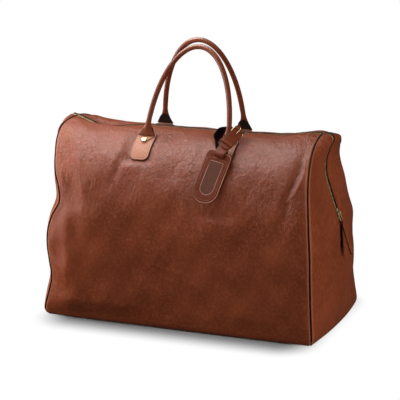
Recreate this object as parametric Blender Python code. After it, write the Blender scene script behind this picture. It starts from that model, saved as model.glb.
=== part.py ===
# Leather travel bag with a zipped top that runs down both gussets, two rolled handles
# and a luggage tag. Metres, +Z up, +X along the bag, -Y its front, origin under its middle.
import math

import bmesh
import bpy
import numpy as np
from mathutils import Matrix, Vector

# Driving sizes of the body
LENGTH = 0.530
DEPTH = 0.280
HEIGHT = 0.350
LEATHER = 0.0018
GAP = 0.0003
BELLY = 0.004
RIDGE_LIFT = 0.010
EDGE_RADIUS = 0.0024
SEAM_ALLOWANCE = 0.005
WELT_RADIUS = 0.0016

# Zip
SLOT_WIDTH = 0.0144
CHAIN_WIDTH = 0.0066
CHAIN_PARTING = 0.0014
CHAIN_THICK = 0.0036
CHAIN_SINK = 0.0012
TAPE_REACH = 0.0175
TAPE_THICK = 0.0008
TAPE_SINK = 0.0032
TAPE_TILT_FRONT = 0.0016
TAPE_TILT_REAR = 0.0030
TAPE_TAIL = 0.008
STOP_LENGTH = 0.005
STOP_SETBACK = 0.018
SLIDER_LENGTH = 0.014
SLIDER_WIDTH = 0.0092
SLIDER_PLATE = 0.0014
SLIDER_LUG = 0.0034
SLIDER_LUG_WIDTH = 0.0024
SLIDER_LUG_LENGTH = 0.0062
SLIDER_START = 0.0175
BAIL_LENGTH = 0.016
BAIL_WIDTH = 0.0100
BAIL_WIRE = 0.0009
BAIL_CLEARANCE = 0.0004
PULL_LENGTH = 0.066
PULL_WIDTH = 0.0160
PULL_NECK_WIDTH = 0.0056
PULL_THICK = 0.0028
PULL_EYE_RADIUS = 0.0027
PULL_LEAN = math.radians(19.5)

# Stiffening board and lining
BOARD_THICK = 0.003
BOARD_INSET = 0.005
LINING_THICK = 0.0008
LINING_INSET = 0.0056
LINING_CORNER = 0.016
LINING_MOUTH = 0.024
LINING_FOOT = 0.012

# Handles
HANDLE_SPAN = 0.160
HANDLE_CENTRE_FRONT = -0.003
HANDLE_CENTRE_REAR = -0.0187
HANDLE_RISE = 0.1715
HANDLE_RADIUS = 0.0046
HANDLE_WALL = 0.0017
HANDLE_DEPTH_FRONT = 0.066
HANDLE_DEPTH_REAR = 0.062
LEAN_FRONT = math.radians(22)
LEAN_REAR = math.radians(10)
FLARE_WIDTH = 0.031
FLARE_RISE = 0.031
FLARE_THICK = 0.0038
FACING_RISE = 0.0250
FACING_THICK = 0.0008

# Tabs, tongues and studs under the handle ends
TAB_WIDTH = 0.035
TAB_BACK = 0.013
TAB_FRONT = 0.062
TAB_THICK = 0.0026
TAB_CORNER = 0.010
TONGUE_BACK = 0.005
TONGUE_FRONT = 0.018
TONGUE_TIP = 0.0036
TONGUE_THICK = 0.0014
STUD_SETBACK = 0.0115
STUD_HEAD = 0.0033
STUD_DOME = 0.0018
STUD_SHANK = 0.0011
STUD_TAIL = 0.0012
WASHER_RADIUS = 0.0060
WASHER_THICK = 0.0010

# Luggage tag and its strap
TAG_WIDTH = 0.048
TAG_ABOVE = 0.0100
TAG_BELOW = 0.0870
TAG_TOP_CORNER = 0.009
TAG_LAYER = 0.0015
TAG_SLOT_WIDTH = 0.0205
TAG_SLOT_TOP = 0.0019
TAG_SLOT_LOW = 0.0022
TAG_AXIS_ABOVE = 0.0061
TAG_TURN = math.radians(12.4)
TAG_SLOPE = math.radians(27.6)
TAG_BEND_START = math.radians(27)
WINDOW_WIDTH = 0.025
WINDOW_START = 0.009
WINDOW_END = 0.071
WINDOW_CORNER = 0.002
STRAP_WIDTH = 0.018
STRAP_THICK = 0.0018
STRAP_REACH = 0.020
STRAP_TAIL = 0.035
KEEPER_DOWN = 0.0185
KEEPER_LENGTH = 0.008
KEEPER_THICK = 0.0011
BUCKLE_WIRE = 0.0009
BUCKLE_LENGTH = 0.0115
BUCKLE_ROOM = 0.0008
PRONG_RADIUS = 0.0006

# Half depth as a share of half the depth, and height as a share of the height, from the
# seam under the bag up to the zip, at the places called stations
DEPTH_SHARES = (0.925, 0.968, 0.988, 0.994, 0.997, 1.000, 1.000, 1.000, 0.993, 0.979,
                0.957, 0.925, 0.871, 0.779, 0.643, 0.471, 0.271)
HEIGHT_SHARES = (0.000, 0.003, 0.018, 0.050, 0.129, 0.214, 0.300, 0.386, 0.471, 0.557,
                 0.634, 0.709, 0.786, 0.860, 0.926, 0.973, 0.997, 1.004)
# Where each corner seam lies at the stations, as a share of half the length
SEAM_SHARES = {
    ("front", "right"): (0.963, 0.986, 0.998, 1.000, 0.994, 0.989, 0.985, 0.981, 0.977,
                         0.968, 0.960, 0.951, 0.940, 0.928, 0.915, 0.904, 0.898, 0.891),
    ("front", "left"): (0.948, 0.976, 0.992, 0.996, 0.966, 0.940, 0.957, 0.974, 0.968,
                        0.932, 0.879, 0.891, 0.932, 0.957, 0.978, 0.981, 0.970, 0.950),
    ("rear", "right"): (0.963, 0.988, 1.002, 1.006, 0.985, 0.968, 0.962, 0.958, 0.951,
                        0.942, 0.925, 0.908, 0.892, 0.891, 0.917, 0.934, 0.926, 0.900),
    ("rear", "left"): (0.948, 0.976, 0.990, 0.992, 0.989, 0.985, 0.977, 0.966, 0.955,
                       0.940, 0.921, 0.906, 0.898, 0.913, 0.943, 0.957, 0.955, 0.945),
}
# The middle line of each gusset at the stations: out along X, and up
MIDDLE_OUT_SHARES = {
    "right": (0.963, 1.006, 1.036, 1.046, 1.046, 1.045, 1.045, 1.038, 1.034, 1.027,
              0.994, 0.960, 0.927, 0.914, 0.934, 0.966, 0.958, 0.938),
    "left": (0.948, 0.984, 1.006, 1.011, 1.011, 1.000, 0.994, 0.996, 0.992, 0.985,
             0.966, 0.953, 0.948, 0.968, 0.992, 1.009, 1.011, 0.992),
}
MIDDLE_UP_SHARES = (0.000, 0.003, 0.018, 0.050, 0.137, 0.240, 0.337, 0.428, 0.497, 0.571,
                    0.645, 0.718, 0.791, 0.871, 0.943, 0.994, 1.023, 1.032)
# How far the left gusset swells out behind its front seam at the stations, as a share of half the
# length, and how far round the gusset it swells most
SWELL_SHARES = (0.000, 0.013, 0.020, 0.024, 0.026, 0.014, 0.008, 0.003, 0.010, 0.021, 0.026,
                0.025, 0.012, 0.002, 0.000, 0.000, 0.000, 0.000)
SWELL_PLACE_SHARE = 0.18
# Rise and fall along the bag as shares of the ridge's lift: place as a share of half the length,
# then the zip's line, then the crest of each panel beside it
RIDGE_PLACE_SHARES = (-1.00, -0.94, -0.86, -0.76, -0.62, -0.45, -0.20, 0.20, 0.45, 0.64,
                      0.79, 0.89, 1.00)
ZIP_LIFT_SHARES = (0.80, 0.65, -0.15, -1.00, -0.70, -0.15, 0.00, -0.05, 0.05, 0.30,
                   0.95, 1.05, 0.90)
CREST_LIFT_SHARES = {
    "front": (0.75, 0.70, 0.45, 0.10, 0.05, -0.05, 0.00, -0.05, 0.05, 0.30, 0.90, 1.00, 0.85),
    "rear": (0.40, 0.20, -0.33, -0.46, -0.66, -0.70, -0.70, -0.70, -0.62, -0.35, 0.30, 0.45,
             0.35),
}
LIFT_START_SHARE = 0.70
LAST = len(HEIGHT_SHARES) - 1
SLOT_STATION = 7
RUN_START_STATION = 9
RUN_END_STATION = 12
RIDGE_START_STATION = 13
PANEL_STATIONS = np.sort(np.append(np.arange(LAST + 1),
                                   np.arange(RIDGE_START_STATION, LAST - 1) + 0.5))
PANEL_COLUMN_SHARES = tuple(np.linspace(-0.93, 0.93, 11))
LINING_COLUMN_SHARES = (-1.00, -0.90, -0.744, -0.558, -0.30, 0.20, 0.558, 0.80, 1.00)
GUSSET_COLUMN_SHARES = (0.16, 0.42, 0.70, 1.00)
# The tag's hinge and the strap's places from the front handle's right fold, as shares of the
# strap's reach, each with the direction across the strap
TAG_HINGE_SHARES = (-0.11, -1.67, -0.86)
FRONT_LEG_SHARES = (((0.780, -0.160, 0.700), (0.786, 0.137, -0.602)),
                    ((0.495, -0.720, 0.265), (0.850, 0.060, -0.520)),
                    ((0.205, -1.290, -0.175), (0.930, -0.020, -0.370)))
LOOP_SHARES = (((-0.060, -1.240, -0.700), (0.960, -0.080, -0.260)),
               ((-0.520, -0.880, -0.250), (0.780, -0.040, -0.620)),
               ((-0.975, -0.500, 0.140), (0.500, 0.000, -0.860)),
               ((-1.130, 0.140, 0.300), (0.220, 0.000, -0.975)),
               ((-1.060, 0.820, 0.540), (0.100, 0.000, -0.990)),
               ((-0.650, 1.190, 0.600), (0.000, 0.000, -1.000)),
               ((0.600, 1.140, 0.680), (0.000, 0.000, -1.000)),
               ((1.120, 0.720, 1.340), (0.500, 0.100, -0.860)))
SIDES = {"front": -1, "rear": 1}
ENDS = {"right": 1, "left": -1}

# Colours of the finishes
TAN = (0.212, 0.068, 0.035, 1)
LIGHT_TAN = (0.310, 0.130, 0.082, 1)
BLACK = (0.012, 0.010, 0.010, 1)
BRASS = (0.450, 0.330, 0.150, 1)
OLIVE = (0.080, 0.070, 0.035, 1)


def clear_scene():
    for item in list(bpy.data.objects):
        bpy.data.objects.remove(item, do_unlink=True)


def material(name, colour, roughness, metallic=0.0):
    made = bpy.data.materials.new(name)
    made.use_nodes = True
    shader = made.node_tree.nodes["Principled BSDF"]
    shader.inputs["Base Color"].default_value = colour
    shader.inputs["Roughness"].default_value = roughness
    shader.inputs["Metallic"].default_value = metallic
    return made


def add_piece(name, points, faces, finish, parent=None, matrix=None, sharp=math.radians(40)):
    mesh = bpy.data.meshes.new(name)
    mesh.from_pydata([tuple(p) for p in np.asarray(points, float)], [], [tuple(f) for f in faces])
    mesh.update()
    bm = bmesh.new()
    bm.from_mesh(mesh)
    bmesh.ops.recalc_face_normals(bm, faces=bm.faces)
    if bm.calc_volume(signed=True) < 0:
        bmesh.ops.reverse_faces(bm, faces=bm.faces)
    bm.to_mesh(mesh)
    bm.free()
    mesh.shade_smooth()
    mesh.set_sharp_from_angle(angle=sharp)
    piece = bpy.data.objects.new(name, mesh)
    bpy.context.collection.objects.link(piece)
    colour, roughness, metallic = finish
    mesh.materials.append(material(name, colour, roughness, metallic))
    piece.parent = parent
    if matrix is not None:
        piece.matrix_basis = matrix
    return piece


def add_axis(name, place, turn, parent=None):
    axis = bpy.data.objects.new(name, None)
    bpy.context.collection.objects.link(axis)
    axis.parent = parent
    axis.matrix_basis = Matrix.Translation(place) @ turn
    return axis


def unit(vectors):
    vectors = np.asarray(vectors, float)
    return vectors / np.linalg.norm(vectors, axis=-1, keepdims=True)


# Curve through evenly numbered values: t counts the values, whole numbers meet them
def through(values, t):
    values = np.asarray(values, float)
    t = np.asarray(t, float)
    index = np.clip(np.floor(t).astype(int), 0, len(values) - 2)
    f = t - index
    before = values[np.clip(index - 1, 0, len(values) - 1)]
    start = values[index]
    end = values[index + 1]
    after = values[np.clip(index + 2, 0, len(values) - 1)]
    return start + 0.5 * f * (end - before + f * (
        2 * before - 5 * start + 4 * end - after + f * (3 * (start - end) + after - before)))


# Body surface
def half_depth(t):
    shares = [share * DEPTH / 2 for share in DEPTH_SHARES]
    return through(shares + [SLOT_WIDTH / 2], t)


def height_at(t):
    return through(HEIGHT_SHARES, t) * HEIGHT


def seam_out(side, end, t):
    return through(SEAM_SHARES[side, end], t) * LENGTH / 2


def ridge_lift(side, x, t):
    place = np.interp(x / (LENGTH / 2), RIDGE_PLACE_SHARES, np.arange(len(RIDGE_PLACE_SHARES)))
    line = through(ZIP_LIFT_SHARES, place)
    crest = through(CREST_LIFT_SHARES[side], place)
    near = np.clip(t - (LAST - 1), 0, 1)
    rise = np.clip((through(HEIGHT_SHARES, t) - LIFT_START_SHARE) / (1 - LIFT_START_SHARE), 0, 1)
    return RIDGE_LIFT * (crest + (line - crest) * near) * rise ** 1.5


# u runs from -1 at the left seam to 1 at the right seam, t counts the stations
def panel_point(side, u, t):
    u, t = np.broadcast_arrays(np.asarray(u, float), np.asarray(t, float))
    right = seam_out(side, "right", t)
    left = seam_out(side, "left", t)
    x = (right + left) / 2 * u + (right - left) / 2
    belly = BELLY * (1 - u ** 2) ** 2 * np.sin(math.pi * np.clip(t / LAST, 0, 1))
    y = SIDES[side] * (half_depth(t) + belly)
    z = height_at(t) + ridge_lift(side, x, t)
    return np.stack([x, y, z], axis=-1)


# The slider's run is straight between its two stations
def gusset_middle(end, t):
    out = np.array(MIDDLE_OUT_SHARES[end]) * LENGTH / 2
    up = np.array(MIDDLE_UP_SHARES) * HEIGHT
    run = np.arange(RUN_START_STATION, RUN_END_STATION + 1)
    share = (run - RUN_START_STATION) / (RUN_END_STATION - RUN_START_STATION)
    for values in (out, up):
        values[run] = values[run[0]] + (values[run[-1]] - values[run[0]]) * share
    return ENDS[end] * through(out, t), through(up, t)


# w runs from 0 at the seam to 1 at the zip's slot
def gusset_point(end, side, w, t):
    w, t = np.broadcast_arrays(np.asarray(w, float), np.asarray(t, float))
    seam = panel_point(side, ENDS[end], t)
    x, z = gusset_middle(end, t)
    y = np.full_like(x, SIDES[side] * SLOT_WIDTH / 2)
    slot = np.stack([x, y, z], axis=-1)
    share = w[..., None]
    ease = np.concatenate([1 - (1 - share) ** 2, share, share], axis=-1)
    place = seam + (slot - seam) * ease
    if (side, end) == ("front", "left"):
        near = w / SWELL_PLACE_SHARE
        swell = through(SWELL_SHARES, t) * LENGTH / 2 * near * np.exp(1 - near) * (1 - w)
        place[..., 0] += ENDS[end] * swell
    return place


def surface_normals(surface, first, second, outward):
    step = 0.01
    across = surface(first + step, second) - surface(first - step, second)
    along = surface(first, second + step) - surface(first, second - step)
    normal = unit(np.cross(across, along))
    flip = np.sign(np.sum(normal * outward, axis=-1, keepdims=True))
    return normal * np.where(flip == 0, 1, flip)


def away(points):
    return points - np.array([0, 0, HEIGHT / 2])


# Frames along a corner seam: place, inward direction, sideways into each of its two pieces
def seam_frames(side, end, stations):
    t = np.asarray(stations, float)
    step = 0.02
    place = panel_point(side, ENDS[end], t)
    ahead = panel_point(side, ENDS[end], np.minimum(t + step, LAST))
    behind = panel_point(side, ENDS[end], np.maximum(t - step, 0))
    along = unit(ahead - behind)
    frames = []
    for inside in (panel_point(side, ENDS[end] * (1 - step), t), gusset_point(end, side, step, t)):
        into = inside - place
        into = unit(into - np.sum(into * along, axis=-1, keepdims=True) * along)
        normal = np.cross(along, into)
        flip = np.sign(np.sum(normal * away(place), axis=-1, keepdims=True))
        frames.append((into, normal * flip))
    inward = -unit(frames[0][1] + frames[1][1])
    sideways = frames[0][0] - np.sum(frames[0][0] * inward, axis=-1, keepdims=True) * inward
    cosine = np.sum(frames[0][0] * inward, axis=-1)
    return place, inward, unit(sideways), cosine


# The seam allowance tapers out towards the zip and the floor
def allowance_at(stations):
    t = np.asarray(stations, float)
    return SEAM_ALLOWANCE * np.clip(np.minimum(t / 3, (LAST - 1 - t) / 3), 0, 1)


# Edge of a piece at a corner seam: it rounds over and turns in as the seam allowance.
# Gives outer and inner points, from the piece towards the tip of the allowance.
def seam_edge(side, end, stations, sign):
    place, inward, sideways, cosine = seam_frames(side, end, stations)
    sine = np.sqrt(1 - cosine ** 2)
    centre_side = GAP / 2 + EDGE_RADIUS
    centre_in = (EDGE_RADIUS + centre_side * cosine) / sine
    start = math.pi / 2 + np.arccos(cosine)
    outer = []
    inner = []
    for share in (0, 0.5, 1):
        angle = start + (3 * math.pi / 2 - start) * share
        for radius, line in ((EDGE_RADIUS, outer), (EDGE_RADIUS - LEATHER, inner)):
            line.append((centre_in + radius * np.cos(angle), centre_side + radius * np.sin(angle)))
    tip = centre_in + allowance_at(stations) + GAP
    outer.append((tip, np.full_like(tip, GAP / 2)))
    inner.append((tip, np.full_like(tip, GAP / 2 + LEATHER)))
    result = []
    for line in (outer, inner):
        result.append([place + inward * depth[:, None] + sign * sideways * off[:, None]
                       for depth, off in line])
    reach = centre_in * cosine + centre_side * sine
    return result[0], result[1], reach


# Closed solid between two grids of points; kept says which cells of the grid have leather.
# A grid that goes round joins its last column to its first and is floored at its first row.
def shell(outer, inner, kept=None, round_about=False):
    rows, columns = outer.shape[:2]
    if kept is None:
        kept = np.ones((rows - 1, columns if round_about else columns - 1), bool)
    number = np.arange(rows * columns).reshape(rows, columns)
    count = rows * columns
    faces = []
    edges = {}
    if round_about:
        floor = [int(i) for i in number[0]]
        faces.append(list(reversed(floor)))
        faces.append([count + i for i in floor])
        for a, b in zip(floor[1:] + floor[:1], floor):
            edges[a, b] = True
    for r, c in zip(*np.nonzero(kept)):
        following = (c + 1) % columns
        corners = [number[r, c], number[r, following], number[r + 1, following], number[r + 1, c]]
        faces.append(corners)
        faces.append([count + i for i in reversed(corners)])
        for a, b in zip(corners, corners[1:] + corners[:1]):
            if (b, a) in edges:
                del edges[b, a]
            else:
                edges[a, b] = True
    for a, b in edges:
        faces.append([b, a, count + a, count + b])
    points = np.concatenate([outer.reshape(-1, 3), inner.reshape(-1, 3)])
    used = sorted({i for face in faces for i in face})
    index = {old: new for new, old in enumerate(used)}
    return points[used], [[index[i] for i in face] for face in faces]


LEATHER_FINISH = (TAN, 0.45, 0.0)
TRIM_FINISH = (LIGHT_TAN, 0.5, 0.0)
BLACK_FINISH = (BLACK, 0.7, 0.0)
BRASS_FINISH = (BRASS, 0.3, 1.0)
ZIP_FINISH = (OLIVE, 0.4, 0.8)
TAPE_FINISH = (OLIVE, 0.9, 0.0)


# Front and rear panels
def panel(side):
    stations = np.array(PANEL_STATIONS, float)
    shares = np.array(PANEL_COLUMN_SHARES)
    u, t = np.meshgrid(shares, stations)
    middle = panel_point(side, u, t)
    normals = surface_normals(lambda a, b: panel_point(side, a, np.clip(b, 0, LAST)),
                              u, np.clip(t, 0.01, LAST - 0.01), away(middle))
    left_outer, left_inner, _ = seam_edge(side, "left", stations, 1)
    right_outer, right_inner, _ = seam_edge(side, "right", stations, 1)
    outer = list(reversed(left_outer)) + list(middle.transpose(1, 0, 2)) + right_outer
    inside = middle - LEATHER * normals
    inner = list(reversed(left_inner)) + list(inside.transpose(1, 0, 2)) + right_inner
    return shell(np.stack(outer, axis=1), np.stack(inner, axis=1))


# Gussets, slotted for the zip from the slot station up
def gusset(end):
    stations = np.array(PANEL_STATIONS, float)
    halves = {}
    for side in SIDES:
        edge_outer, edge_inner, reach = seam_edge(side, end, stations, -1)
        seam = panel_point(side, ENDS[end], stations)
        slot = gusset_point(end, side, 1, stations)
        first = reach / np.linalg.norm(slot - seam, axis=-1)
        columns = [first + (1 - first) * share for share in GUSSET_COLUMN_SHARES]
        w = np.stack(columns, axis=1)
        t = np.repeat(stations[:, None], w.shape[1], axis=1)
        middle = gusset_point(end, side, w, t)
        normals = surface_normals(
            lambda a, b: gusset_point(end, side, np.clip(a, 0, 1), np.clip(b, 0, LAST)),
            np.clip(w, 0.01, 0.99), np.clip(t, 0.01, LAST - 0.01), away(middle))
        outer = list(reversed(edge_outer)) + list(middle.transpose(1, 0, 2))
        inside = middle - LEATHER * normals
        inner = list(reversed(edge_inner)) + list(inside.transpose(1, 0, 2))
        halves[side] = (outer, inner)
    outer = halves["front"][0] + list(reversed(halves["rear"][0]))
    inner = halves["front"][1] + list(reversed(halves["rear"][1]))
    outer = np.stack(outer, axis=1)
    inner = np.stack(inner, axis=1)
    kept = np.ones((len(stations) - 1, outer.shape[1] - 1), bool)
    kept[stations[:-1] >= SLOT_STATION, outer.shape[1] // 2 - 1] = False
    return shell(outer, inner, kept)


# Ring by ring skin of a tube: rings is (count, sides, 3)
def skin(rings, closed=False):
    count, sides = rings.shape[:2]
    faces = []
    last = count if closed else count - 1
    for r in range(last):
        following = (r + 1) % count
        for s in range(sides):
            turn = (s + 1) % sides
            faces.append([r * sides + s, r * sides + turn, following * sides + turn,
                          following * sides + s])
    if not closed:
        faces.append(list(reversed(range(sides))))
        faces.append([(count - 1) * sides + s for s in range(sides)])
    return rings.reshape(-1, 3), faces


# Round rings along a path, turned from one to the next without twist
def round_rings(path, radius, sides, closed=False, first=None):
    path = np.asarray(path, float)
    if closed:
        along = unit(np.roll(path, -1, axis=0) - np.roll(path, 1, axis=0))
    else:
        along = unit(np.gradient(path, axis=0))
    radius = np.broadcast_to(radius, (len(path),))
    across = np.array(first if first is not None else (0, 1, 0), float)
    rings = []
    for place, direction, size in zip(path, along, radius):
        across = unit(across - np.dot(across, direction) * direction)
        other = np.cross(direction, across)
        angle = 2 * math.pi * (np.arange(sides) + 0.5) / sides
        rings.append(place + size * (np.outer(np.cos(angle), across)
                                     + np.outer(np.sin(angle), other)))
    return np.array(rings)


# Corner seams: a narrow round welt lies in each groove
def welt(side, end):
    stations = np.array([2.5] + list(range(3, 14)) + [13.5, 14, 14.5, 15, 15.5, 16, 16.5, 17])
    place, inward, _, cosine = seam_frames(side, end, stations)
    sine = np.sqrt(1 - cosine ** 2)
    centre_side = GAP / 2 + EDGE_RADIUS
    centre_in = (EDGE_RADIUS + centre_side * cosine) / sine
    apart = EDGE_RADIUS + WELT_RADIUS + GAP * 1.5
    depth = centre_in - math.sqrt(apart ** 2 - centre_side ** 2)
    path = place + inward * depth[:, None]
    return skin(round_rings(path, WELT_RADIUS, 6))


# Base panel and the board that stiffens it
def slab(x_low, x_high, half_width, low, high):
    points = [(x, y, z) for z in (low, high)
              for x, y in ((x_low, -half_width), (x_high, -half_width),
                           (x_high, half_width), (x_low, half_width))]
    faces = [[3, 2, 1, 0], [4, 5, 6, 7], [0, 1, 5, 4], [1, 2, 6, 5], [2, 3, 7, 6], [3, 0, 4, 7]]
    return points, faces


def base_outline(inset):
    right = float(seam_out("front", "right", 0)) - inset
    left = float(seam_out("front", "left", 0)) - inset
    return -left, right, float(half_depth(0)) - inset


# Lining: a loose bag inside, open under the zip along the ridge and down both gussets
def lining():
    stations = np.arange(3.0, LAST)
    tape_low = TAPE_SINK + TAPE_TILT_REAR + TAPE_THICK + 8 * GAP
    drop = np.clip(stations - RUN_END_STATION, 0, None) / 3
    outer_rows = []
    for t in stations:
        loop = []
        sunk = drop[stations == t][0]
        for side, end in (("front", "right"), ("rear", "left")):
            lines = []
            for place in ("panel", "near", "far"):
                if place == "panel":
                    right = float(seam_out(side, "right", t))
                    left = float(seam_out(side, "left", t))
                    edge = 1 - LINING_CORNER * 2 / (right + left)
                    first = np.clip(LINING_COLUMN_SHARES, -edge, edge)
                    surface = lambda a, b: panel_point(side, a, np.clip(b, 0, LAST))
                    deep = LINING_INSET
                else:
                    half = side if place == "near" else ("rear" if side == "front" else "front")
                    reach = float(half_depth(t)) - SLOT_WIDTH / 2
                    mouth = 1 - (LINING_MOUTH - SLOT_WIDTH) / 2 / reach
                    first = np.array([LINING_CORNER / reach, 0.5, mouth])
                    surface = lambda a, b: gusset_point(end, half, a, np.clip(b, 0, LAST))
                    deep = np.array([LINING_INSET, LINING_INSET, tape_low])[:, None]
                second = t - sunk * np.array([0, 0.5, 1]) if place != "panel" else t
                second = np.full_like(first, second)
                line = surface(first, second)
                line = line - surface_normals(surface, first, second, away(line)) * deep
                if (place == "panel" and side == "rear") or place == "far":
                    line = line[::-1]
                lines.append(line)
            loop.extend(lines)
        outer_rows.append(np.concatenate(loop))
    outer = np.array(outer_rows)
    foot = outer[0].copy()
    low = LEATHER + GAP + BOARD_THICK + GAP
    foot[:, 2] = low
    for axis in (0, 1):
        foot[:, axis] -= np.sign(foot[:, axis]) * np.minimum(LINING_FOOT, np.abs(foot[:, axis]))
    outer = np.concatenate([foot[None], outer])
    around = np.roll(outer, -1, axis=1) - np.roll(outer, 1, axis=1)
    upward = np.gradient(outer, axis=0)
    normal = unit(np.cross(around, upward))
    inner = outer - normal * LINING_THICK
    inner[0] = foot + np.array([0, 0, LINING_THICK])
    columns = outer.shape[1]
    kept = np.ones((len(outer) - 1, columns), bool)
    mouth = len(LINING_COLUMN_SHARES) + 2
    for middle in (mouth, columns // 2 + mouth):
        kept[1 + list(stations).index(SLOT_STATION):, middle] = False
    return shell(outer, inner, kept, round_about=True)


# Zip: its path in the XZ plane, from the right gusset over the ridge to the left gusset
def zip_path():
    stations = np.array([t for t in PANEL_STATIONS if t >= SLOT_STATION], float)
    x_right, z_right = gusset_middle("right", stations)
    x_left, z_left = gusset_middle("left", stations)
    shares = np.array((1.0,) + tuple(reversed(PANEL_COLUMN_SHARES)) + (-1.0,))
    top = panel_point("front", shares, np.full_like(shares, LAST))
    right = np.stack([x_right, z_right], axis=1)
    left = np.stack([x_left, z_left], axis=1)[::-1]
    return np.concatenate([right, top[:, [0, 2]], left])


def lengthened(path, amount):
    path = path.copy()
    path[0] -= unit(path[1] - path[0]) * amount
    path[-1] += unit(path[-1] - path[-2]) * amount
    return path


# Outward directions along the path, longer at its bends so that a strip keeps its depth
def path_outward(path):
    runs = unit(np.diff(path, axis=0))
    normals = np.stack([runs[:, 1], -runs[:, 0]], axis=1)
    before = np.concatenate([normals[:1], normals])
    after = np.concatenate([normals, normals[-1:]])
    middle = unit(before + after)
    return middle / np.sum(middle * after, axis=1, keepdims=True)


# Strip along the zip with a four-cornered section; each corner is (aside, depth)
def zip_strip(side, corners, path):
    outward = path_outward(path)
    rings = []
    for aside, depth in corners:
        flat = path - outward * depth
        y = np.full(len(path), SIDES[side] * aside)
        rings.append(np.stack([flat[:, 0], y, flat[:, 1]], axis=1))
    return skin(np.stack(rings, axis=1))


def tape(side):
    near = CHAIN_WIDTH / 2 + GAP
    far_sink = TAPE_SINK + (TAPE_TILT_FRONT if side == "front" else TAPE_TILT_REAR)
    corners = [(near, TAPE_SINK), (TAPE_REACH, far_sink), (TAPE_REACH, far_sink + TAPE_THICK),
               (near, TAPE_SINK + TAPE_THICK)]
    return zip_strip(side, corners, lengthened(zip_path(), TAPE_TAIL))


def chain(side):
    low = CHAIN_SINK + CHAIN_THICK
    corners = [(CHAIN_PARTING / 2, CHAIN_SINK), (CHAIN_WIDTH / 2, CHAIN_SINK),
               (CHAIN_WIDTH / 2, low), (CHAIN_PARTING / 2, low)]
    return zip_strip(side, corners, lengthened(zip_path(), -STOP_SETBACK))


# Prism: an outline in a plane, carried between two heights across it
def prism(outline, low, high, axes=(0, 1, 2)):
    rings = []
    for height in (low, high):
        ring = np.zeros((len(outline), 3))
        ring[:, axes[0]] = [p[0] for p in outline]
        ring[:, axes[1]] = [p[1] for p in outline]
        ring[:, axes[2]] = height
        rings.append(ring)
    return skin(np.array(rings))


def boxed(low, high):
    outline = [(low[0], low[1]), (high[0], low[1]), (high[0], high[1]), (low[0], high[1])]
    return prism(outline, low[2], high[2])


def zip_stop(end):
    path = zip_path()
    if end == "left":
        path = path[::-1]
    along = unit(path[1] - path[0])
    place = path[0] + along * (STOP_SETBACK - GAP)
    turn = math.atan2(-along[0] * ENDS[end], along[1])
    half = CHAIN_WIDTH / 2
    points, faces = boxed((-CHAIN_SINK - CHAIN_THICK, -half, -STOP_LENGTH), (-CHAIN_SINK, half, 0))
    matrix = Matrix.Translation((place[0], 0, place[1]))
    if end == "left":
        matrix = matrix @ Matrix.Rotation(math.pi, 4, "Z")
    matrix = matrix @ Matrix.Rotation(-turn, 4, "Y")
    return points, faces, matrix


def cutter(name, points, faces, parent=None, matrix=None):
    made = add_piece(name, points, faces, BLACK_FINISH, parent, matrix)
    made.hide_render = True
    made.display_type = "WIRE"
    return made


def carve(piece, tool, operation="DIFFERENCE"):
    change = piece.modifiers.new(tool.name, "BOOLEAN")
    change.operation = operation
    change.object = tool


# Slider: two plates held together by a web that runs between the two rows of teeth
def slider_section():
    top = -CHAIN_SINK + GAP
    low = -CHAIN_SINK - CHAIN_THICK - GAP
    web = CHAIN_PARTING / 2 - GAP
    wide = SLIDER_WIDTH / 2
    half = [(top + SLIDER_PLATE, wide), (top, wide), (top, web), (low, web), (low, wide),
            (low - SLIDER_PLATE, wide)]
    return half + [(n, -y) for n, y in reversed(half)]


def slider(axis):
    section = np.array(slider_section())
    rings = []
    for share, width in ((-0.5, 0.72), (-0.2, 1.0), (0.5, 0.9)):
        wide = np.where(np.abs(section[:, 1]) > CHAIN_PARTING, width, 1.0)
        ring = np.stack([section[:, 0], section[:, 1] * wide,
                         np.full(len(section), share * SLIDER_LENGTH)], axis=1)
        rings.append(ring)
    piece = add_piece("zip_slider", *skin(np.array(rings)), ZIP_FINISH, axis)
    top = -CHAIN_SINK + GAP + SLIDER_PLATE
    lug_low = (top - SLIDER_PLATE / 2, -SLIDER_LUG_WIDTH / 2, -SLIDER_LUG_LENGTH / 2)
    lug_high = (top + SLIDER_LUG, SLIDER_LUG_WIDTH / 2, SLIDER_LUG_LENGTH / 2)
    carve(piece, cutter("slider_lug_shape", *boxed(lug_low, lug_high), axis), "UNION")
    eye = turned([(BAIL_WIRE + BAIL_CLEARANCE, -SLIDER_WIDTH), (BAIL_WIRE + BAIL_CLEARANCE, SLIDER_WIDTH)],
                 10)
    matrix = Matrix.Translation((bail_height(), 0, 0)) @ Matrix.Rotation(math.pi / 2, 4, "X")
    carve(piece, cutter("slider_eye_shape", *eye, axis, matrix))
    return piece


def bail_height():
    return -CHAIN_SINK + GAP + SLIDER_PLATE + SLIDER_LUG / 2


# Turned piece about local Z: the profile is (radius, height) from end to end
def turned(profile, sides):
    angle = 2 * math.pi * np.arange(sides) / sides
    rings = [np.stack([r * np.cos(angle), r * np.sin(angle), np.full(sides, h)], axis=1)
             for r, h in profile]
    return skin(np.array(rings))


# Turned ring about local Z: the profile is a closed loop of (radius, height)
def turned_ring(profile, sides):
    angle = 2 * math.pi * np.arange(sides) / sides
    rings = [np.stack([[r * math.cos(a), r * math.sin(a), h] for r, h in profile]) for a in angle]
    return skin(np.array(rings), closed=True)


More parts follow.
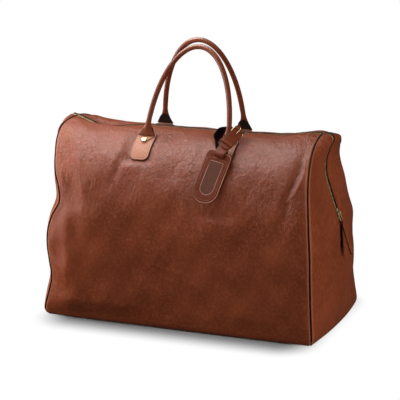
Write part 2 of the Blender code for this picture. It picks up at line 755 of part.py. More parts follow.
# Rounded rectangle as an outline, counted from the lower right corner
def rounded_outline(width, low, high, low_radius, high_radius, steps):
    corners = ((width / 2 - low_radius, low + low_radius, low_radius, -90),
               (width / 2 - high_radius, high - high_radius, high_radius, 0),
               (-width / 2 + high_radius, high - high_radius, high_radius, 90),
               (-width / 2 + low_radius, low + low_radius, low_radius, 180))
    outline = []
    for x, y, radius, first in corners:
        for step in range(steps + 1):
            angle = math.radians(first + 90 * step / steps)
            outline.append((x + radius * math.cos(angle), y + radius * math.sin(angle)))
    return outline


def zip_pull(slider_axis, lean):
    bail_axis = add_axis("bail_axis", (bail_height(), 0, 0), Matrix.Rotation(lean, 4, "Y"),
                         slider_axis)
    half = BAIL_WIDTH / 2
    outline = rounded_outline(BAIL_WIDTH, -BAIL_LENGTH, 0, half * 0.36, half * 0.5, 2)
    path = [(0, x, z) for x, z in outline]
    add_piece("pull_bail", *skin(round_rings(path, BAIL_WIRE, 6, True, (1, 0, 0)), True),
              ZIP_FINISH, bail_axis)
    pull_axis = add_axis("pull_axis", (0, 0, -BAIL_LENGTH), Matrix.Identity(4), bail_axis)
    rings = []
    eye = PULL_EYE_RADIUS
    for share, thick, width in ((-1.0, 0.45, 0.80), (-0.6, 0.85, 1.0), (0.0, 1.0, 1.0),
                                (1.0, 0.85, 1.0), (2.2, 0.55, 1.12)):
        rings.append((share * eye, eye * thick, PULL_NECK_WIDTH / 2 * width))
    for share, width in ((0.20, 0.66), (0.45, 0.78), (0.70, 0.92), (0.86, 1.0), (0.94, 0.90),
                         (0.985, 0.62), (1.0, 0.30)):
        rings.append((share * PULL_LENGTH, PULL_THICK / 2, PULL_WIDTH / 2 * width))
    section = ((1, -1), (1, 1), (-1, 1), (-1, -1))
    points = np.array([[(n * thick, y * wide, -down) for n, y in section]
                       for down, thick, wide in rings])
    pull = add_piece("zip_pull", *skin(points), TRIM_FINISH, pull_axis)
    radius = BAIL_WIRE + BAIL_CLEARANCE
    hole = turned([(radius, -PULL_WIDTH), (radius, PULL_WIDTH)], 10)
    carve(pull, cutter("pull_eye_shape", *hole, pull_axis, Matrix.Rotation(math.pi / 2, 4, "X")))


def build_zip():
    for side in SIDES:
        add_piece(side + "_zip_tape", *tape(side), TAPE_FINISH)
        add_piece(side + "_zip_teeth", *chain(side), ZIP_FINISH)
    for end in ENDS:
        points, faces, matrix = zip_stop(end)
        add_piece(end + "_zip_stop", points, faces, ZIP_FINISH, None, matrix)
    x, z = gusset_middle("right", np.array([RUN_START_STATION, RUN_END_STATION], float))
    run = Vector((x[1] - x[0], 0, z[1] - z[0]))
    tilt = math.atan2(run.x, run.z)
    place = Vector((x[0], 0, z[0])) + run.normalized() * SLIDER_START
    slider_axis = add_axis("slider_axis", place, Matrix.Rotation(tilt, 4, "Y"))
    slider(slider_axis)
    zip_pull(slider_axis, -PULL_LEAN - tilt)


# Place on a panel: x along the bag, and a distance down the slope from the handle's fold
def slope_station(side, x, distance):
    t = np.linspace(LAST - 6, LAST, 241)
    u = panel_share(side, x, t)
    line = panel_point(side, u, t)
    length = np.concatenate([[0], np.cumsum(np.linalg.norm(np.diff(line, axis=0), axis=1))])
    depth = HANDLE_DEPTH_FRONT if side == "front" else HANDLE_DEPTH_REAR
    fold = np.interp(-depth, -np.abs(line[:, 1]), length)
    return np.interp(fold - np.asarray(distance, float), length, t)


def panel_share(side, x, t):
    right = seam_out(side, "right", t)
    left = seam_out(side, "left", t)
    return (x - (right - left) / 2) / ((right + left) / 2)


def on_panel(side, x, distance, height):
    x, distance = np.broadcast_arrays(np.asarray(x, float), np.asarray(distance, float))
    centre = float(np.mean(x))
    t = slope_station(side, centre, distance)
    u = panel_share(side, x, t)
    place = panel_point(side, u, t)
    normal = surface_normals(lambda a, b: panel_point(side, a, b), u, t, away(place))
    return place + normal * height, normal


# Sheet that lies on a panel; widths pairs distances down the slope with half widths
def laid_sheet(side, centre, distances, half_widths, low, thick, columns=3):
    across = np.linspace(-1, 1, columns)
    x = centre + np.outer(half_widths, across)
    down = np.repeat(np.asarray(distances, float)[:, None], columns, axis=1)
    outer, _ = on_panel(side, x, down, low + thick)
    inner, _ = on_panel(side, x, down, low)
    return shell(outer, inner)


def rounded_half_widths(distances, start, end, half, radius):
    from_end = np.minimum(np.asarray(distances) - start, end - np.asarray(distances))
    inset = np.clip(radius - from_end, 0, radius)
    return half - radius + np.sqrt(radius ** 2 - inset ** 2)


TAB_LOW = GAP
TONGUE_LOW = TAB_LOW + TAB_THICK + GAP
STUD_LOW = TONGUE_LOW + TONGUE_THICK + GAP
FOLD_HEIGHT = STUD_LOW + FLARE_THICK / 2


def handle_end(side, label, centre):
    tab_rows = np.array([-TAB_BACK, -TAB_BACK + TAB_CORNER * 0.2, -TAB_BACK + TAB_CORNER,
                         TAB_FRONT * 0.08, TAB_FRONT * 0.20, TAB_FRONT * 0.31, TAB_FRONT * 0.42,
                         TAB_FRONT * 0.53, TAB_FRONT * 0.63, TAB_FRONT * 0.73,
                         TAB_FRONT - TAB_CORNER, TAB_FRONT - TAB_CORNER * 0.4,
                         TAB_FRONT - TAB_CORNER * 0.1, TAB_FRONT])
    widths = rounded_half_widths(tab_rows, -TAB_BACK, TAB_FRONT, TAB_WIDTH / 2, TAB_CORNER)
    tab = add_piece(label + "_tab",
                    *laid_sheet(side, centre, tab_rows, widths, TAB_LOW, TAB_THICK), TRIM_FINISH)
    tongue_rows = np.array([-TONGUE_BACK, TONGUE_FRONT * 0.08, TONGUE_FRONT * 0.36,
                            TONGUE_FRONT * 0.64, TONGUE_FRONT * 0.92, TONGUE_FRONT])
    tongue_widths = np.array([FLARE_WIDTH * 0.46, FLARE_WIDTH * 0.46, FLARE_WIDTH * 0.33,
                              FLARE_WIDTH * 0.20, TONGUE_TIP, TONGUE_TIP * 0.5])
    tongue = add_piece(label + "_tongue",
                       *laid_sheet(side, centre, tongue_rows, tongue_widths, TONGUE_LOW,
                                   TONGUE_THICK), TRIM_FINISH)
    place, normal = on_panel(side, centre, STUD_SETBACK, 0)
    turn = Vector(normal).to_track_quat("Z", "Y").to_matrix().to_4x4()
    matrix = Matrix.Translation(place) @ turn
    hole_radius = STUD_SHANK + GAP
    reach = STUD_LOW + STUD_DOME + LEATHER
    hole = cutter(label + "_stud_hole", *turned([(hole_radius, -reach), (hole_radius, reach)], 8),
                  None, matrix)
    for piece in (tab, tongue, panels[side]):
        carve(piece, hole)
    washer_top = -LEATHER - 2 * GAP
    washer_low = washer_top - WASHER_THICK
    tail = washer_low - GAP
    head = STUD_HEAD
    add_piece(label + "_stud", *turned(
        [(head * 0.30, STUD_LOW + STUD_DOME), (head * 0.72, STUD_LOW + STUD_DOME * 0.82),
         (head, STUD_LOW + STUD_DOME * 0.30), (head, STUD_LOW), (STUD_SHANK, STUD_LOW),
         (STUD_SHANK, tail), (STUD_SHANK + 3 * GAP, tail), (STUD_SHANK, tail - STUD_TAIL)], 10),
        BRASS_FINISH, None, matrix)
    add_piece(label + "_washer", *turned_ring(
        [(WASHER_RADIUS, washer_low), (WASHER_RADIUS, washer_top), (hole_radius, washer_top),
         (hole_radius, washer_low)], 10), BRASS_FINISH, None, matrix)


# Half width of a handle's leather above its fold: a flare that draws in to the round
def flare_half_width(rise):
    share = np.clip(1 - rise / FLARE_RISE, 0, 1)
    return HANDLE_RADIUS + (FLARE_WIDTH / 2 - HANDLE_RADIUS) * share ** 1.8


def flare_half_thick(rise):
    share = np.clip(rise / FLARE_RISE, 0, 1)
    return FLARE_THICK / 2 + (HANDLE_RADIUS - FLARE_THICK / 2) * (3 * share ** 2 - 2 * share ** 3)


# Handle in its own plane: x across, z up from the fold, y across the plane
def handle_path(angles):
    return np.stack([HANDLE_SPAN / 2 * np.cos(angles), np.zeros_like(angles),
                     HANDLE_RISE * np.sin(angles)], axis=1)


def handle_angles():
    rises = np.array([0, 0.14, 0.30, 0.50, 0.72, 1.0]) * FLARE_RISE
    start = np.arcsin(rises / HANDLE_RISE)
    middle = np.linspace(start[-1], math.pi - start[-1], 23)[1:-1]
    return np.concatenate([start, middle, math.pi - start[::-1]])


def oval_rings(path, across, half_width, half_thick, sides):
    along = unit(np.gradient(path, axis=0))
    sideways = unit(np.cross(np.broadcast_to(across, path.shape), along))
    angle = 2 * math.pi * (np.arange(sides) + 0.5) / sides
    return (path[:, None] + half_width[:, None, None] * np.cos(angle)[None, :, None]
            * sideways[:, None] + half_thick[:, None, None] * np.sin(angle)[None, :, None]
            * np.asarray(across, float)[None, None])


def handle_cover_rings():
    path = handle_path(handle_angles())
    rises = path[:, 2]
    rings = oval_rings(path, (0, 1, 0), flare_half_width(rises), flare_half_thick(rises), 10)
    ends = []
    for index in (0, -1):
        foot = []
        for share, size in ((1.0, 0.35), (0.72, 0.72)):
            ring = rings[index].copy()
            ring[:, 1] *= size
            ring[:, 2] = -share * FLARE_THICK / 2
            foot.append(ring)
        ends.append(np.array(foot if index == 0 else foot[::-1]))
    return np.concatenate([ends[0], rings, ends[1]])


# The core's path leaves the roll at the inner face of each flare
def core_path(inner_side, reach):
    start = math.asin(FLARE_RISE * 0.80 / HANDLE_RISE)
    middle = handle_path(np.linspace(start, math.pi - start, 25))
    if not reach:
        return middle
    outs = []
    for share, aside in ((0.10, 0.0105), (0.36, 0.0062), (0.60, 0.0018)):
        rise = FLARE_RISE * share
        outs.append((HANDLE_SPAN / 2 * math.cos(math.asin(rise / HANDLE_RISE)),
                     inner_side * aside * reach, rise))
    start_points = np.array(outs)
    end_points = start_points[::-1] * np.array([-1, 1, 1])
    return np.concatenate([start_points, middle, end_points])


def facing(sign, inner_side):
    rises = np.array([0.04, 0.25, 0.5, 0.75, 1.0]) * FACING_RISE
    half_widths = np.minimum(flare_half_width(rises) * 0.90, flare_half_width(rises) - 4 * GAP)
    near = flare_half_thick(rises) + GAP
    x = HANDLE_SPAN / 2 * np.cos(np.arcsin(rises / HANDLE_RISE))
    across = np.linspace(-1, 1, 3)
    layers = []
    for off in (near + FACING_THICK, near):
        grid = np.stack([sign * (x[:, None] + half_widths[:, None] * across[None]),
                         np.repeat((inner_side * off)[:, None], 3, axis=1),
                         np.repeat(rises[:, None], 3, axis=1)], axis=-1)
        layers.append(grid)
    return shell(layers[0], layers[1])


def build_handle(side):
    inner_side = -SIDES[side]
    middle = HANDLE_CENTRE_FRONT if side == "front" else HANDLE_CENTRE_REAR
    centres = {"left": middle - HANDLE_SPAN / 2, "right": middle + HANDLE_SPAN / 2}
    folds = []
    for end, centre in centres.items():
        handle_end(side, f"{side}_{end}", centre)
        folds.append(on_panel(side, centre, 0, FOLD_HEIGHT)[0])
    lean = LEAN_FRONT if side == "front" else LEAN_REAR
    height = max(place[2] for place in folds)
    depth = folds[0][1]
    axis = add_axis(side + "_handle_axis", (middle, depth, height),
                    Matrix.Rotation(SIDES[side] * lean, 4, "X"))
    cover = add_piece(side + "_handle", *skin(handle_cover_rings()), LEATHER_FINISH, axis)
    bore = skin(round_rings(core_path(inner_side, 1), HANDLE_RADIUS - HANDLE_WALL, 8))
    carve(cover, cutter(side + "_handle_bore", *bore, axis))
    core = skin(round_rings(core_path(inner_side, 0), HANDLE_RADIUS - HANDLE_WALL - GAP, 8))
    add_piece(side + "_handle_core", *core, BLACK_FINISH, axis)
    for end, sign in ENDS.items():
        add_piece(f"{side}_{end}_facing", *facing(sign, inner_side), BLACK_FINISH, axis)
    return Vector((centres["right"], depth, height))


# Tag: two layers of leather on a hinge line that the strap's bend goes round
def build_tag(fold):
    place = fold + Vector(TAG_HINGE_SHARES) * STRAP_REACH
    turn = Matrix.Rotation(-TAG_SLOPE, 4, "X") @ Matrix.Rotation(TAG_TURN, 4, "Y")
    axis = add_axis("tag_axis", place, turn)
    slot = -TAG_AXIS_ABOVE
    outline = rounded_outline(TAG_WIDTH, slot - TAG_BELOW, slot + TAG_ABOVE, TAG_WIDTH * 0.46,
                              TAG_TOP_CORNER, 5)
    window = rounded_outline(WINDOW_WIDTH, slot - WINDOW_END, slot - WINDOW_START,
                             WINDOW_WIDTH * 0.49, WINDOW_CORNER, 4)
    reach = TAG_LAYER * 2
    slot_tool = cutter("tag_slot_shape", *boxed(
        (-TAG_SLOT_WIDTH / 2, -reach, slot - TAG_SLOT_LOW),
        (TAG_SLOT_WIDTH / 2, reach, slot + TAG_SLOT_TOP)), axis)
    window_tool = cutter("tag_window_shape", *prism(window, -reach, -GAP / 4, (0, 2, 1)), axis)
    for name, near in (("tag_front", -GAP / 2 - TAG_LAYER), ("tag_back", GAP / 2)):
        layer = add_piece(name, *prism(outline, near, near + TAG_LAYER, (0, 2, 1)),
                          LEATHER_FINISH if name == "tag_front" else TRIM_FINISH, axis)
        carve(layer, slot_tool)
        if name == "tag_front":
            carve(layer, window_tool)
    return Matrix.Translation(place) @ turn


# Frames along the strap: places, then directions along, across and out of it
def strap_frames(places, across):
    along = unit(np.gradient(places, axis=0))
    across = across - along * np.sum(across * along, axis=1, keepdims=True)
    across = unit(across)
    return along, across, unit(np.cross(along, across))


def eased(table, steps):
    values = np.array(table, float)
    t = np.linspace(0, len(values) - 1, steps * (len(values) - 1) + 1)
    return np.stack([through(values[:, k], t) for k in range(values.shape[1])], axis=1)


def front_leg(fold, bend_start, bend_across):
    table = [tuple(fold + Vector(place) * STRAP_REACH) + across
             for place, across in FRONT_LEG_SHARES]
    table.append(tuple(bend_start) + tuple(bend_across))
    run = eased(table, 3)
    return run[:, :3], unit(run[:, 3:])


def build_strap(fold, tag_frame):
    turn = np.array(tag_frame.to_3x3())
    centre = np.array(tag_frame.to_translation())
    across, inward, up = turn[:, 0], turn[:, 1], turn[:, 2]
    angles = np.linspace(-TAG_BEND_START, math.pi, 10)
    bend = (centre - TAG_AXIS_ABOVE * (np.cos(angles)[:, None] * inward
                                       + np.sin(angles)[:, None] * up))
    front, front_across = front_leg(fold, bend[0], across)
    front_along, front_across, front_out = strap_frames(front, front_across)
    length = np.concatenate([[0], np.cumsum(np.linalg.norm(np.diff(front, axis=0), axis=1))])
    lift = STRAP_THICK + GAP
    upper = front + front_out * lift
    table = [tuple(bend[-1]) + tuple(across)]
    table += [tuple(fold + Vector(place) * STRAP_REACH) + wide for place, wide in LOOP_SHARES]
    along = front_along[0]
    bar = front[0] - along * (BUCKLE_WIRE + GAP)
    reach = BUCKLE_LENGTH + 3 * BUCKLE_WIRE
    table.append(tuple(upper[0] - along * reach) + tuple(front_across[0]))
    loop = eased(table, 3)[1:]
    tail = np.count_nonzero(length < STRAP_TAIL)
    share = (STRAP_TAIL - length[tail - 1]) / (length[tail] - length[tail - 1])
    last = upper[tail - 1] + (upper[tail] - upper[tail - 1]) * share
    tail_places = np.concatenate([upper[:tail], last[None]])
    tail_across = front_across[:tail + 1]
    places = np.concatenate([front, bend[1:], loop[:, :3], tail_places])
    wide = np.concatenate([front_across, np.repeat(across[None], len(bend) - 1, axis=0),
                           unit(loop[:, 3:]), tail_across])
    along_all, wide, out = strap_frames(places, wide)
    straight = [0] + list(range(tail + 1))
    out[:len(front)] = front_out
    out[-len(straight):] = front_out[straight]
    wide[:len(front)] = front_across
    wide[-len(straight):] = front_across[straight]
    half = np.full(len(places), STRAP_WIDTH / 2)
    half[-1] *= 0.45
    half[-2] *= 0.96
    half = half[:, None]
    thick = STRAP_THICK / 2
    rings = np.stack([places + wide * half + out * thick, places - wide * half + out * thick,
                      places - wide * half - out * thick, places + wide * half - out * thick],
                     axis=1)
    strap = add_piece("tag_strap", *skin(rings), LEATHER_FINISH)
    frame = Matrix.Identity(4)
    for column, direction in enumerate((-front_across[0], front_out[0], -along)):
        for row in range(3):
            frame[row][column] = direction[row]
    prong_room = PRONG_RADIUS + 2 * GAP
    hole_low = (-prong_room, -lift, -2 * PRONG_RADIUS - BUCKLE_WIRE - 3 * GAP)
    hole_high = (prong_room, lift * 2, BUCKLE_LENGTH * 0.56)
    place = Matrix.Translation(bar) @ frame
    carve(strap, cutter("prong_hole_shape", *boxed(hole_low, hole_high), None, place))
    build_keeper(front, front_across, front_out, length)
    build_buckle(place, lift)


def at_length(values, length, wanted):
    return np.stack([np.interp(wanted, length, values[:, k]) for k in range(3)], axis=-1)


def build_keeper(front, across, out, length):
    end = KEEPER_DOWN + KEEPER_LENGTH
    within = length[(length > KEEPER_DOWN) & (length < end)]
    wanted = np.concatenate([[KEEPER_DOWN], within, [end]])
    place = at_length(front, length, wanted)
    wide = unit(at_length(across, length, wanted))
    outward = unit(at_length(out, length, wanted))
    low = -STRAP_THICK / 2 - 2 * GAP
    high = STRAP_THICK * 1.5 + 4 * GAP
    half = STRAP_WIDTH / 2 + 2 * GAP
    inner = [place + wide * a + outward * b
             for a, b in ((half, low), (half, high), (-half, high), (-half, low))]
    thick = KEEPER_THICK
    outer = [place + wide * a + outward * b
             for a, b in ((half + thick, low - thick), (half + thick, high + thick),
                          (-half - thick, high + thick), (-half - thick, low - thick))]
    rings = [np.concatenate([far, near[::-1]]) for far, near in zip(outer, inner)]
    add_piece("strap_keeper", *skin(np.array(rings), closed=True), TRIM_FINISH)


# Buckle: a wire frame that starts at the end of the lower layer and tilts over the upper one
def build_buckle(place, lift):
    rise = lift + STRAP_THICK / 2 + BUCKLE_WIRE + GAP
    half = STRAP_WIDTH / 2 + BUCKLE_ROOM + BUCKLE_WIRE
    tilt = math.asin(rise / BUCKLE_LENGTH)
    outline = rounded_outline(2 * half, 0, BUCKLE_LENGTH, BUCKLE_WIRE, BUCKLE_WIRE * 2, 2)
    path = [(x, z * math.sin(tilt), z * math.cos(tilt)) for x, z in outline]
    first = (0, math.cos(tilt), -math.sin(tilt))
    add_piece("tag_buckle", *skin(round_rings(path, BUCKLE_WIRE, 6, True, first), True),
              BRASS_FINISH, None, place)
    axis = add_axis("prong_axis", place.to_translation(), place.to_3x3().to_4x4())
    around = BUCKLE_WIRE + GAP + PRONG_RADIUS
    end = np.array([0, rise + BUCKLE_WIRE + PRONG_RADIUS + GAP, BUCKLE_LENGTH * math.cos(tilt)])
    leave = math.atan2(end[2], end[1]) - math.acos(around / math.hypot(end[1], end[2]))
    angles = np.linspace(leave - math.radians(285), leave, 9)
    loop = np.stack([0 * angles, around * np.cos(angles), around * np.sin(angles)], axis=1)
    path = np.concatenate([loop, (loop[-1] + (end - loop[-1]) * 0.5)[None],
                           (loop[-1] + (end - loop[-1]) * 1.18)[None]])
    add_piece("buckle_prong", *skin(round_rings(path, PRONG_RADIUS, 6, False, (1, 0, 0))),
              BRASS_FINISH, axis)


clear_scene()
panels = {}
for side in SIDES:
    panels[side] = add_piece(side + "_panel", *panel(side), LEATHER_FINISH)
for end in ENDS:
    add_piece(end + "_gusset", *gusset(end), LEATHER_FINISH)
for side in SIDES:
    for end in ENDS:
        add_piece(f"{side}_{end}_welt", *welt(side, end), LEATHER_FINISH)
x_low, x_high, half_width = base_outline(GAP)
add_piece("base_panel", *slab(x_low, x_high, half_width, 0, LEATHER), LEATHER_FINISH)
x_low, x_high, half_width = base_outline(BOARD_INSET)
add_piece("base_board", *slab(x_low, x_high, half_width, LEATHER + GAP, LEATHER + GAP + BOARD_THICK),
          BLACK_FINISH)
add_piece("lining", *lining(), BLACK_FINISH)
build_zip()
folds = {side: build_handle(side) for side in SIDES}
tag_frame = build_tag(folds["front"])
build_strap(folds["front"], tag_frame)
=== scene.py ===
import math

import bpy
import numpy as np
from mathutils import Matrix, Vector


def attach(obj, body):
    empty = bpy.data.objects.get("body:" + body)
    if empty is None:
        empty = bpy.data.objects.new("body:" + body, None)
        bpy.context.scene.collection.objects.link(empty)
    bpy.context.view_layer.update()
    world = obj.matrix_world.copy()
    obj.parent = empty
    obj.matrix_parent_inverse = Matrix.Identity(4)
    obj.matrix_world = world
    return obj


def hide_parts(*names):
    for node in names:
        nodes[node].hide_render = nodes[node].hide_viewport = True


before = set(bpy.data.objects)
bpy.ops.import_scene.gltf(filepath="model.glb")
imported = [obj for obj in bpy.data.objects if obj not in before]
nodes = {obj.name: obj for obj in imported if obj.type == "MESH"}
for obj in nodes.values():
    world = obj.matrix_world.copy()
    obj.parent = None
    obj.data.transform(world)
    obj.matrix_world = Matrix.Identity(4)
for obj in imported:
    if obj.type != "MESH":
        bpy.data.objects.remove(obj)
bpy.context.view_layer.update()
print("frame loaded")


# Small tools for arrays and meshes

# Vectors cut or stretched to length 1
def unit(vectors):
    size = np.linalg.norm(vectors, axis=-1, keepdims=True)
    return vectors / np.where(size == 0, 1, size)


# Numbers and arrays of matching shapes as the parts of points, in a new last axis
def stacked(*parts):
    return np.stack(np.broadcast_arrays(*parts), axis=-1)


# 0 below low and 1 above high; between them 3 s squared less 2 s cubed
def smoothStep(values, low, high):
    share = np.clip((values - low) / (high - low), 0, 1)
    return share * share * (3 - 2 * share)


# Curve through evenly numbered values: t counts the values, whole numbers meet them
def through(values, t):
    values = np.asarray(values, float)
    t = np.asarray(t, float)
    index = np.clip(np.floor(t).astype(int), 0, len(values) - 2)
    f = t - index
    before = values[np.clip(index - 1, 0, len(values) - 1)]
    start = values[index]
    end = values[index + 1]
    after = values[np.clip(index + 2, 0, len(values) - 1)]
    return start + 0.5 * f * (end - before + f * (
        2 * before - 5 * start + 4 * end - after + f * (3 * (start - end) + after - before)))


# Length along a line of points, from its first point
def runLength(line):
    return np.concatenate([[0], np.cumsum(np.linalg.norm(np.diff(line, axis=0), axis=1))])


# Values given along a line, read at other lengths
def readAt(values, length, wanted):
    return stacked(*[np.interp(wanted, length, column) for column in values.T])


# Six times the volume inside a closed mesh; its sign says which way the faces look
def signedVolume(points, quads, caps):
    corner = points[quads]
    total = np.sum(np.cross(corner[:, 0], corner[:, 1]) * corner[:, 2])
    total += np.sum(np.cross(corner[:, 0], corner[:, 2]) * corner[:, 3])
    for cap in caps:
        ring = points[cap]
        middle = ring.mean(axis=0)
        total += np.sum(np.cross(ring, np.roll(ring, -1, axis=0)) * middle)
    return total


def putObject(name, data):
    made = bpy.data.objects.new(name, data)
    bpy.context.scene.collection.objects.link(made)
    return made


# A solid that is shown as it is gets one finish
def coat(name, finish):
    nodes[name].data.materials.clear()
    nodes[name].data.materials.append(finish)


# A finished object from arrays: quads and end caps, turned to look outwards, shaded smooth
def addPiece(name, shape, finish, ridesOn, replaces=(), sharp=50, marks=None, flat=None):
    points, quads, caps = shape
    if signedVolume(points, quads, caps) < 0:
        quads = quads[:, ::-1]
        caps = [cap[::-1] for cap in caps]
    mesh = bpy.data.meshes.new(name)
    loops = np.concatenate([quads.ravel()] + caps).astype(np.int32)
    sizes = np.concatenate([np.full(len(quads), 4), [len(cap) for cap in caps]])
    starts = np.concatenate([[0], np.cumsum(sizes)[:-1]]).astype(np.int32)
    mesh.vertices.add(len(points))
    mesh.vertices.foreach_set("co", points.astype(np.float32).ravel())
    mesh.loops.add(len(loops))
    mesh.loops.foreach_set("vertex_index", loops)
    mesh.polygons.add(len(starts))
    mesh.polygons.foreach_set("loop_start", starts)
    mesh.update(calc_edges=True)
    mesh.validate()
    for mark, values in (marks or {}).items():
        attribute = mesh.attributes.new(mark, "FLOAT", "POINT")
        attribute.data.foreach_set("value", np.asarray(values, np.float32))
    if flat is not None:
        layer = mesh.uv_layers.new(name="flat")
        layer.data.foreach_set("uv", flat[loops].astype(np.float32).ravel())
    mesh.shade_smooth()
    mesh.set_sharp_from_angle(angle=math.radians(sharp))
    piece = putObject(name, mesh)
    mesh.materials.append(finish)
    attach(piece, ridesOn)
    if replaces:
        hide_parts(*replaces)
    return piece


# Tube: rings of points joined in order, with a cap at each open end
def skin(rings, closed=False):
    count, sides = rings.shape[:2]
    number = np.arange(count * sides).reshape(count, sides)
    beside = np.roll(number, -1, axis=1)
    quads = stacked(number, beside, np.roll(beside, -1, axis=0), np.roll(number, -1, axis=0))
    caps = []
    if not closed:
        quads = quads[:-1]
        caps = [number[0][::-1], number[-1]]
    return rings.reshape(-1, 3), quads.reshape(-1, 4), caps


# Several closed shapes as one
def joined(shapes):
    points, quads, caps, count = [], [], [], 0
    for shape in shapes:
        points.append(shape[0])
        quads.append(shape[1] + count)
        caps += [cap + count for cap in shape[2]]
        count += len(shape[0])
    return np.concatenate(points), np.concatenate(quads), caps


# Round rings along a path: place + r cos(a) across + r sin(a) other, carried without twist
def roundRings(path, radius, sides, closed=False, first=(0, 1, 0)):
    if closed:
        along = unit(np.roll(path, -1, axis=0) - np.roll(path, 1, axis=0))
    else:
        along = unit(np.gradient(path, axis=0))
    across = [np.array(first, float)]
    for direction in along:  # each ring's first direction is the last one's, square to the path
        last = across[-1]
        across.append(unit(last - np.dot(last, direction) * direction))
    across = np.array(across[1:])
    other = np.cross(along, across)
    angle = 2 * math.pi * np.arange(sides) / sides
    radius = np.broadcast_to(radius, (len(path),))[:, None, None]
    return path[:, None] + radius * (np.cos(angle)[None, :, None] * across[:, None]
                                     + np.sin(angle)[None, :, None] * other[:, None])


# Turned shape about a line: profile of (radius, height), heights along the direction up
def turned(profile, place, up, sides):
    profile = np.asarray(profile, float)
    side = unit(np.cross(up, (0.31, 0.87, 0.22)))
    other = np.cross(up, side)
    angle = 2 * math.pi * np.arange(sides) / sides
    around = np.cos(angle)[:, None] * side + np.sin(angle)[:, None] * other
    rings = place + profile[:, 0, None, None] * around + profile[:, 1, None, None] * np.asarray(up)
    return skin(rings)


# Closed sheet of leather: the outer grid, the same grid one thickness in along its normals, and
# half round edges between the two. away says which side is outside, as one direction or as a
# function of places. Gives the shape and a mark from 0 to 1 at its cut edges.
def hide(outer, thickness, away, kept=None, around=False, edgeRings=3):
    rows, columns = outer.shape[:2]
    number = np.arange(rows * columns).reshape(rows, columns)
    if around:
        number = np.concatenate([number, number[:, :1]], axis=1)
    cells = stacked(number[:-1, :-1], number[:-1, 1:], number[1:, 1:], number[1:, :-1])
    cells = cells.reshape(-1, 4) if kept is None else cells[kept]
    points = outer.reshape(-1, 3)
    corner = points[cells]
    area = np.cross(corner[:, 2] - corner[:, 0], corner[:, 3] - corner[:, 1])
    if np.sum(area * (away(corner.mean(axis=1)) if callable(away) else away)) < 0:
        cells = cells[:, ::-1]
        area = -area
    normals = np.zeros_like(points)
    for k in range(4):
        np.add.at(normals, cells[:, k], area)
    normals = unit(normals)
    count = len(points)
    inner = points - normals * thickness
    edges = np.concatenate([cells[:, [k, (k + 1) % 4]] for k in range(4)])
    there = edges[:, 0] * count + edges[:, 1]
    back = edges[:, 1] * count + edges[:, 0]
    edges = edges[~np.isin(there, back)]
    out = np.cross(points[edges[:, 1]] - points[edges[:, 0]], normals[edges].mean(axis=1))
    outward = np.zeros_like(points)
    np.add.at(outward, edges[:, 0], out)
    np.add.at(outward, edges[:, 1], out)
    rim = np.unique(edges)
    outward = unit(outward[rim])
    middle = (points[rim] + inner[rim]) / 2
    rings = []
    for k in range(edgeRings):
        angle = math.pi * (k + 1) / (edgeRings + 1)
        rings.append(middle + thickness / 2 * (math.cos(angle) * normals[rim]
                                               + math.sin(angle) * outward))
    place = np.zeros(count, int)
    place[rim] = np.arange(len(rim))
    layers = [rim] + [2 * count + k * len(rim) + np.arange(len(rim)) for k in range(edgeRings)]
    layers.append(rim + count)
    quads = [cells, cells[:, ::-1] + count]
    a, b = place[edges[:, 0]], place[edges[:, 1]]
    for upper, lower in zip(layers[:-1], layers[1:]):
        quads.append(stacked(upper[b], upper[a], lower[a], lower[b]))
    quads = np.concatenate(quads)
    everything = np.concatenate([points, inner] + rings)
    edgeMark = np.zeros(len(everything))
    edgeMark[2 * count:] = 1
    edgeMark[rim] = 0.7
    used, numbers = np.unique(quads, return_inverse=True)
    return (everything[used], numbers.reshape(quads.shape), []), {"edge": edgeMark[used]}


# Four by four matrices and points through them

def turnMatrix(axis, angle, place=(0, 0, 0)):
    a, b = [k for k in range(3) if k != axis]
    made = np.eye(4)
    made[a, a] = made[b, b] = math.cos(angle)
    made[a, b] = -math.sin(angle) if axis != 1 else math.sin(angle)
    made[b, a] = -made[a, b]
    made[:3, 3] = place
    return made


def moved(matrix, points):
    return points @ matrix[:3, :3].T + matrix[:3, 3]


def placed(matrix, shape):
    return (moved(matrix, shape[0]),) + shape[1:]


# A piece that is one closed sheet of leather, worked out flat and then turned to its place
def addHide(name, grid, thickness, away, finish, ridesOn, node, matrix=np.eye(4),
            around=False):
    shape, marks = hide(grid, thickness, away, around=around)
    return addPiece(name, placed(matrix, shape), finish, ridesOn, (node,), marks=marks)


# Stitches along lines on a surface: each is a small bar with rounded ends, 24 faces
stitch = {"pitch": 0.0034, "length": 0.0026, "radius": 0.00032, "slant": math.radians(7)}


# Six sided rings along the stitch, smaller at its two ends
def stitchBar():
    shares = ((-0.50, 0.35), (-0.38, 0.9), (0.38, 0.9), (0.50, 0.35))
    angle = 2 * math.pi * np.arange(6) / 6
    rings = [stacked(share * stitch["length"], size * stitch["radius"] * np.cos(angle),
                     size * stitch["radius"] * np.sin(angle)) for share, size in shares]
    return skin(np.array(rings))


# Copies of one small shape, each at its own place and turned to its own three directions
def copies(shape, places, first, second, third):
    points, quads, caps = shape
    spread = (places[:, None] + points[None, :, 0, None] * first[:, None]
              + points[None, :, 1, None] * second[:, None]
              + points[None, :, 2, None] * third[:, None])
    shift = (np.arange(len(places)) * len(points))[:, None, None]
    allQuads = (quads[None] + shift).reshape(-1, 4)
    allCaps = [cap + step for step in shift[:, 0, 0] for cap in caps]
    return spread.reshape(-1, 3), allQuads, allCaps


